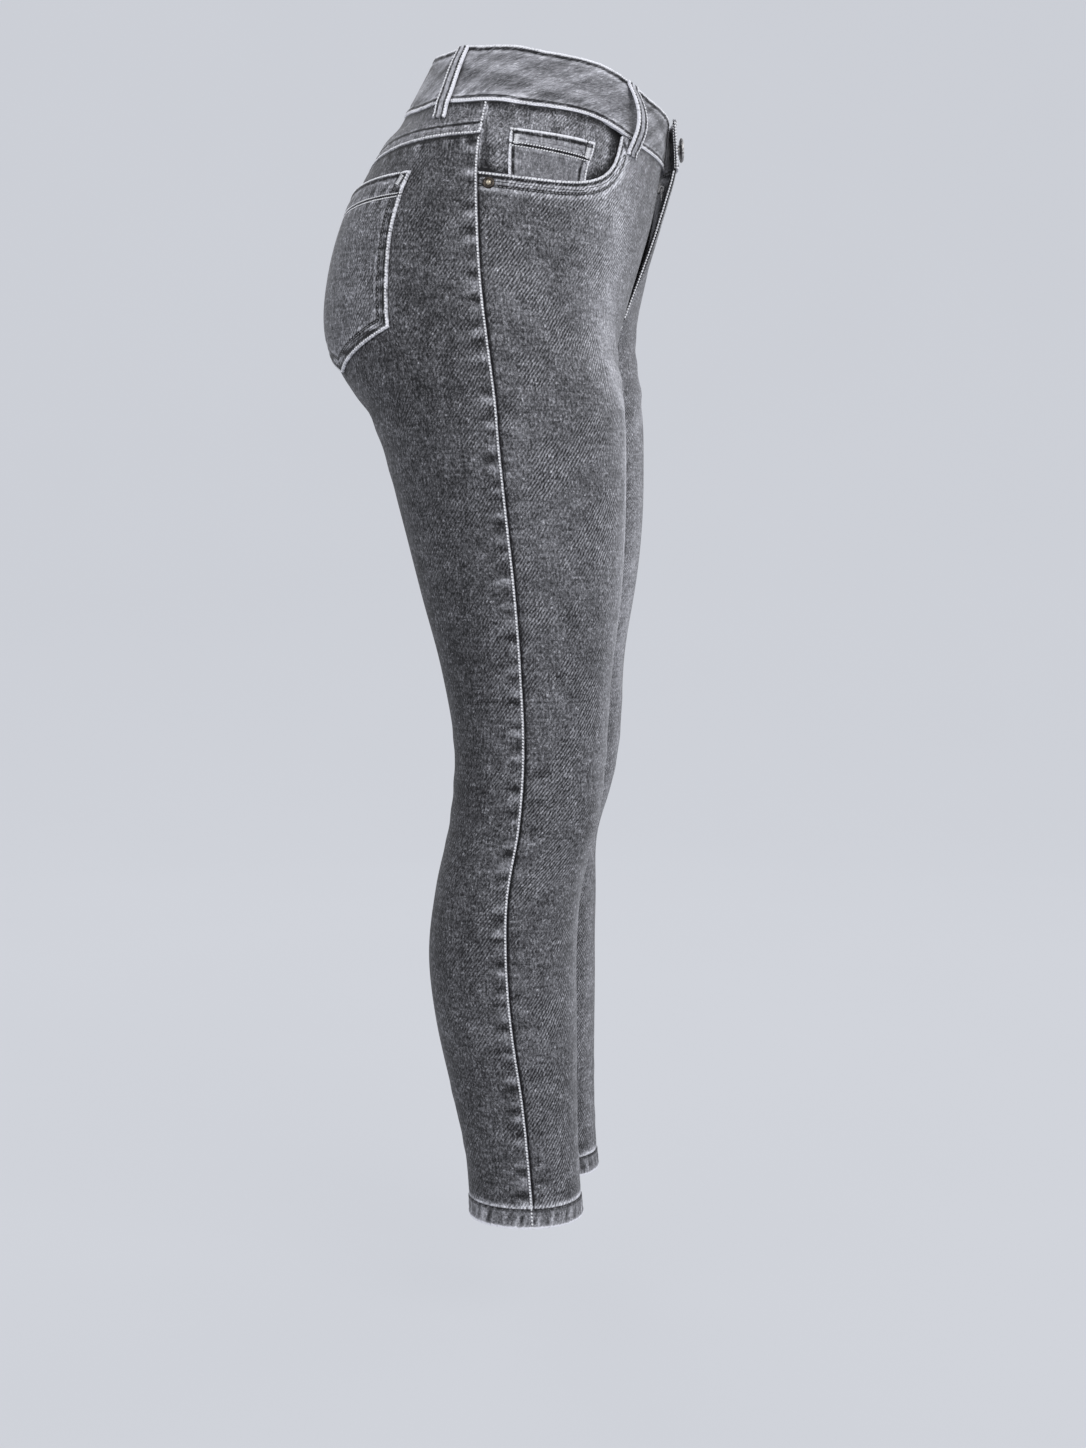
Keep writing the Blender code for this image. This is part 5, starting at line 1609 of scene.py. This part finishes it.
@dataclass
class Sewing(Wearing):
    """Every row of thread, laid on the finished cloth.

    step is the distance between the places of a long row, clear how far a row stays from a seam, aim_from and
    aim_reach where the rays that look for the cloth start and how far they go. fly_out, fly_turn and fly_drop
    give the row round the fly: its arc, the level where it turns in and how far it drops from there.
    """

    step: float = 0.004
    clear: float = 0.002
    aim_from: float = 0.03
    aim_reach: float = 0.045
    fly_out: float = 0.036
    fly_turn: float = -0.160
    fly_drop: float = 0.030
    paths: dict[Cord, list[tuple[Grid, Grid]]] = field(default_factory=dict)
    trees: dict[str, BVHTree] = field(default_factory=dict)

    def lay(self, kind: Cord, piece: str, side: int, level: Grid, arc: Grid) -> None:
        """Adds a path that follows a piece of cloth.

        Args:
            kind: the kind of sewing.
            piece: the name of the cloth that it lies on.
            side: RIGHT or LEFT.
            level: the level of each place along the path.
            arc: their arcs.
        """
        level, arc = np.broadcast_arrays(np.asarray(level, float), np.asarray(arc, float))
        base, outward = SHAPE.outward(side, level, arc)
        cloth = self.cloth(piece)
        points, kept = [], []
        for start, away in zip(base, outward):
            hit, _, _, _ = cloth.ray_cast(Vector(start + away * self.aim_from), Vector(-away), self.aim_reach)
            if hit is not None:
                points.append(hit)
                kept.append(away)
        if len(points) > 1:
            self.paths.setdefault(kind, []).append((np.array(points), np.array(kept)))

    def cloth(self, piece: str) -> BVHTree:
        """A tree of a piece's faces for laying thread on it."""
        if piece not in self.trees:
            mesh = bpy.data.objects[piece].data
            points = np.empty(len(mesh.vertices) * 3, np.float32)
            mesh.vertices.foreach_get("co", points)
            faces = np.empty(len(mesh.loops), np.int32)
            mesh.loops.foreach_get("vertex_index", faces)
            corners, quads = points.reshape(-1, 3).tolist(), faces.reshape(-1, 4).tolist()
            self.trees[piece] = BVHTree.FromPolygons(corners, quads)
        return self.trees[piece]

    def legs(self, side: int) -> None:
        """The side seam, the inseam, the seat seam and the yoke seam of one side."""
        back, yoke, hem = (sided(part, side) for part in ("back", "yoke", "hem"))
        for cloth, low, high, step in (
            (back, HEM_SEAM + 0.001, -0.0745, self.step),
            (yoke, -0.0725, -0.0480, 0.003),
            (hem, HEM_END + 0.0008, HEM_SEAM, 0.002),
        ):
            level = np.arange(low, high, step)
            self.lay(Cord.EDGE, cloth, side, level, SHAPE.seam(level) + EDGE_IN)
        inner = np.arange(HEM_SEAM + 0.001, CROTCH - 0.004, self.step)
        self.lay(Cord.SECOND, back, side, inner, SHAPE.length(inner) - 0.0016)
        seat = np.arange(CROTCH + 0.012, yoke_level(1.0) - self.clear, self.step)
        for off in (0.0020, 0.0085) if side == LEFT else (0.0020,):
            self.lay(Cord.SECOND, back, side, seat, SHAPE.length(seat) - off)
            top = np.arange(yoke_level(1.0) + self.clear, BAND_SEAM - self.clear, self.step)
            self.lay(Cord.SECOND, yoke, side, top, SHAPE.length(top) - off)
        share = np.linspace(0.012, 0.995, 90)
        for kind, rise in ((Cord.EDGE, EDGE_IN), (Cord.SECOND, 0.0055)):
            level = yoke_level(share) + rise
            self.lay(kind, yoke, side, level, SHAPE.seam(level) + from_seam(level, share, back_reach))
        level = np.full(160, HEM_SEAM - 0.0016)
        self.lay(Cord.DARK, hem, side, level, SHAPE.length(level) * np.linspace(0.0, 1.0, 160))

    def front(self, side: int) -> None:
        """The pocket mouth, the fly and the front of the rise on one side."""
        cloth = sided("front", side)
        share = np.linspace(0.01, 0.985, 110)
        level, forward = mouth_curve(share)
        down, ahead = np.gradient(level), np.gradient(forward)
        run = np.hypot(down, ahead)
        for kind, off in ((Cord.EDGE, 0.0012), (Cord.SECOND, 0.0100)):
            lv, fw = level + off * ahead / run, forward - off * down / run
            keep = (lv < BAND_SEAM - self.clear) & (fw > self.clear)
            self.lay(kind, cloth, side, lv[keep], SHAPE.seam(lv[keep]) - fw[keep])
        rise = np.arange(CROTCH + 0.012, FLY_END - self.clear, self.step)
        self.lay(Cord.SECOND, cloth, side, rise, 0 * rise + 0.0022)
        if side == LEFT:
            self.flap()
            top = BAND_SEAM - self.clear
            edge = np.arange(FLY_END + 0.010, top, self.step)
            foot = np.arange(FLY_END - 0.005, FLY_END + 0.006, 0.002)
            self.lay(Cord.TACK, cloth, side, foot, 0 * foot + 0.0028)
            self.lay(Cord.SECOND, cloth, side, edge, 0 * edge + 0.0060)
            bend = np.linspace(0.0, math.pi / 2, 24)
            straight = np.arange(top, self.fly_turn, -self.step)
            curve = np.hstack([straight, self.fly_turn - self.fly_drop * np.sin(bend)])
            turn_in = mix(0.004, self.fly_out, np.cos(bend))
            arcs = np.hstack([np.full(len(straight), self.fly_out), turn_in])
            for off in (0.0, 0.0045):
                self.lay(Cord.SECOND, cloth, side, curve + 0.4 * off * (arcs < 0.03), arcs - off)

    def flap(self) -> None:
        """The rows in the folded edges of the fly flap and the tab, which show from the wearer's right."""
        fly = np.arange(FLY_END + 0.012, BAND_SEAM - 0.001, 0.003)
        lift = fly_lift(fly, 0 * fly - FLAP_OVER)
        tab = np.arange(BAND_SEAM + 0.001, WAIST_TOP - 0.001, 0.003)
        stand = BAND_PROUD + tab_lift(tab, 0 * tab - FLAP_OVER)
        for kind, level, out, down in (
            (Cord.FOLD, fly, lift, 0.45 * (DENIM + fold_depth(lift))),
            (Cord.FOLD, tab, stand, 0.0005),
            (Cord.FINE, tab, stand, BAND_WALL - 0.0003),
        ):
            base, outward = SHAPE.outward(LEFT, level, 0 * level - FLAP_OVER, out)
            points = base - outward * np.broadcast_to(down, level.shape)[:, None]
            self.paths.setdefault(kind, []).append((points, outward))

    def pocket(self, side: int) -> None:
        """The edges, the hem and the tacks of a back pocket."""
        cloth, rows = sided("back_pocket", side), ((Cord.EDGE, 0.0012), (Cord.SECOND, 0.0089))
        self.outline(cloth, side, BACK_POCKET, rows, SHAPE.length, 0.017)
        for (across, level), lean in ((BACK_POCKET[3], -0.0055), (BACK_POCKET[4], 0.0055)):
            tack = np.linspace(-0.0035, -0.0100, 9)
            self.lay(Cord.TACK, cloth, side, level + tack, SHAPE.length(level + tack) - (across + lean))

    def outline(
        self,
        cloth: str,
        side: int,
        corners: Sequence[tuple[float, float]],
        rows: Sequence[tuple[Cord, float]],
        whole: Callable[[Grid], Grid],
        hem: float,
    ) -> None:
        """Rows round the sides and foot of a patch, an edge row along its top and two under its hem.

        Args:
            cloth: the patch.
            side: RIGHT or LEFT.
            corners: its corners, anticlockwise, ending in the two of its top.
            rows: the kind of each row and how far inside the edge it runs.
            whole: gives the arc that across is measured back from, at a level.
            hem: the depth of the folded top.
        """
        ring = np.array(corners)
        middle = ring.mean(0)
        for kind, inset in rows:
            for k, (a, b) in enumerate(zip(ring, np.roll(ring, -1, axis=0))):
                if kind is not Cord.EDGE and k == len(ring) - 2:
                    continue
                run = np.hypot(*(b - a))
                along = (b - a) / run
                inward = np.array([-along[1], along[0]])
                inward = inward if np.dot(middle - a, inward) > 0 else -inward
                spots = a + np.linspace(inset, run - inset, 40)[:, None] * along + inward * inset
                self.lay(kind, cloth, side, spots[:, 1], whole(spots[:, 1]) - spots[:, 0])
        a, b = ring[-1], ring[-2]
        for inset in (hem - 0.0011, hem + 0.0013):
            spots = a + (b - a) * np.linspace(0.02, 0.98, 44)[:, None] - (0, inset)
            spots[:, 0] += (spots[:, 0] - middle[0]) * 0.12 * inset / 0.016
            self.lay(Cord.FINE, cloth, side, spots[:, 1], whole(spots[:, 1]) - spots[:, 0])

    def band(self) -> None:
        """The rows along the waistband's edges and down the belt loops."""
        for side in (RIGHT, LEFT):
            for level in (WAIST_TOP - 0.0013, BAND_SEAM + 0.0013):
                far = float(SHAPE.length(np.array([level]))[0])
                arc = np.linspace(-FLAP_OVER + 0.001 if side == LEFT else 0.004, far, 220)
                self.lay(Cord.EDGE, "waistband_cloth", side, level, arc)
        tall = np.linspace(BAND_SEAM + 0.0015, WAIST_TOP - 0.0015, 16)
        self.lay(Cord.FINE, "waistband_cloth", LEFT, tall, 0 * tall - FLAP_OVER + 0.0012)
        t = np.linspace(0.02, 0.98, 26)
        level = mix(LOOP_FOOT, LOOP_TOP, t)
        for loop in Waist.loops:
            for off in (-LOOP_HALF + 0.0012, LOOP_HALF - 0.0012):
                owner = LEFT if loop.arc is None and off < 0 else loop.side
                spot = loop.middle(level, t) + (-abs(off) if loop.arc is None else off)
                self.lay(Cord.EDGE, loop.node + "_cloth", owner, level, spot)

    def build(self) -> None:
        """Lays every row and sews each kind as one piece."""
        for side in (RIGHT, LEFT):
            self.legs(side)
            self.front(side)
            self.pocket(side)
        self.coin()
        self.band()
        for number, (kind, paths) in enumerate(self.paths.items()):
            self.keep(kind.value.sew(paths, 11 + number), [], "denim")

    def coin(self) -> None:
        """The edges, the hem and the tacks of the coin pocket."""
        self.outline("coin_pocket_cloth", RIGHT, COIN_POCKET, ((Cord.EDGE, 0.0011),), SHAPE.seam, 0.0118)
        for across, level in ((0.0265, -0.0715), (0.0830, -0.0700)):
            tack = np.linspace(0.0, -0.0065, 9)
            self.lay(Cord.TACK, "coin_pocket_cloth", RIGHT, level + tack, SHAPE.seam(level + tack) - across)


@dataclass
class Metal(Wearing):
    """The rivets at the pocket mouths, and the teeth of the zip below its slider."""

    rivet_radius: float = 0.0045
    rivet_below_mouth: float = 0.008
    rivet_before_seam: float = 0.0085
    teeth_pitch: float = 0.0026
    teeth_top: float = -0.0715
    teeth_off: float = 0.0011

    def rivet(self, side: int, word: str) -> None:
        """A dark cap with a rubbed nub in its middle, at the back end of a pocket mouth."""
        r = self.rivet_radius
        profile = (
            (0.0, 0.00225, 1),
            (0.22 * r, 0.00218, 1),
            (0.38 * r, 0.00185, 1),
            (0.45 * r, 0.00110, 0),
            (0.52 * r, 0.00095, 0),
            (0.64 * r, 0.00125, 0),
            (0.78 * r, 0.00130, 0),
            (0.92 * r, 0.00095, 0),
            (r, 0.00040, 0),
            (r, -0.0003, 0),
            (0.0, -0.0003, 0),
        )
        mesh = turned(f"rivet_{word}_cap", profile)
        top, _ = mouth_curve(np.array([1.0]))
        level = top - self.rivet_below_mouth
        arc = SHAPE.seam(level) - self.rivet_before_seam
        foot, outward = (Vector(row[0]) for row in SHAPE.outward(side, level, arc, 0.0004))
        matrix = outward.to_track_quat("Z", "Y").to_matrix().to_4x4()
        matrix.translation = foot
        mesh.transform(matrix)
        for finish in (Finish.BRONZE, Finish.CREAM):
            mesh.materials.append(finish.material)
        self.keep(placed(f"rivet_{word}_cap", mesh), [f"rivet_{word}"], "metal")

    def teeth(self) -> None:
        """Two rows of zip teeth that mesh along the centre, one step apart."""
        paths = []
        for side, shift in ((RIGHT, 0.0), (LEFT, 0.5)):
            level = np.arange(ZIP_BOTTOM + 0.004 + shift * self.teeth_pitch, self.teeth_top, 0.003)
            arc = 0 * level + side * self.teeth_off
            paths.append(SHAPE.outward(LEFT, level, arc, 0.0003 - ZIP_TAPE_SUNK))
        row = Row("zip_teeth", Finish.NICKEL, self.teeth_pitch, 0.0030, 0.0014, 0.0011, math.pi / 2, 0.0)
        self.keep(row.sew(paths, 5), [], "metal")

    def build(self) -> None:
        """Makes the rivets and the teeth."""
        for side, word in SIDES:
            self.rivet(side, word)
        self.teeth()


@dataclass
class Studio:
    """The floor, the light and the camera. lights gives each one's name, place, width and power in watts."""

    floor: float = -0.985
    flat: float = 2.2
    bend: float = 1.2
    lights: tuple[tuple[str, tuple[float, float, float], float, float], ...] = (
        ("key", (-1.9, -1.6, 1.1), 1.6, 46.0),
        ("fill", (-2.2, 1.3, 0.6), 1.8, 21.0),
        ("back", (1.9, 1.2, 1.0), 1.6, 21.0),
        ("front", (1.3, -2.0, 0.6), 1.6, 21.0),
    )
    aim: tuple[float, float, float] = (0.0, 0.0, -0.4)
    sky: tuple[float, float, float, float] = (0.80, 0.82, 0.88, 1)
    sky_power: float = 0.70
    focal: float = 47.34
    eye: tuple[float, float, float] = (-1.5472, -0.1996, -0.388)
    turn: float = -82.5
    rise: float = -159 / 1448

    def sweep(self) -> None:
        """A floor that curves up into a wall all round."""
        wide, turns = self.flat + self.bend, np.linspace(0.1, math.pi / 2, 12)
        curve = [(self.flat + self.bend * math.sin(a), self.bend * (1 - math.cos(a))) for a in turns]
        outline = [(0.0, 0.0), (1.2, 0.0), (self.flat, 0.0), *curve, (wide, 2.2), (wide, wide)]
        profile = [(radius, self.floor + height, 0) for radius, height in outline]
        mesh = turned("studio_sweep", profile, 72)
        mesh.materials.append(Finish.SWEEP.material)
        sweep = placed("studio_sweep", mesh)

    def build(self) -> None:
        """Makes all of it."""
        self.sweep()
        for name, place, size, power in self.lights:
            data = bpy.data.lights.new(name, "AREA")
            data.size, data.energy = size, power
            lamp = placed(name, data)
            lamp.location = place
            lamp.rotation_euler = (Vector(self.aim) - Vector(place)).to_track_quat("-Z", "Y").to_euler()
        world = bpy.data.worlds.new("studio")
        world.use_nodes = True
        background = world.node_tree.nodes["Background"]
        background.inputs["Color"].default_value = self.sky
        background.inputs["Strength"].default_value = self.sky_power
        bpy.context.scene.world = world
        bpy.context.scene.view_settings.view_transform = "Standard"
        data = bpy.data.cameras.new("camera")
        data.lens, data.shift_y = self.focal, self.rise
        camera = placed("camera", data)
        camera.location = self.eye
        camera.rotation_euler = (math.pi / 2, 0.0, math.radians(self.turn))
        bpy.context.scene.camera = camera
        log.info("studio: camera and light")


def main() -> None:
    """Builds the jeans' pieces in order, and writes how big they came out."""
    logging.basicConfig(level=logging.INFO, format="%(name)s %(message)s")
    Studio().build()
    Legs().build()
    Pockets().build()
    Waist().build()
    Fly().build()
    Metal().build()
    Sewing().build()


if __name__ == "__main__":
    main()
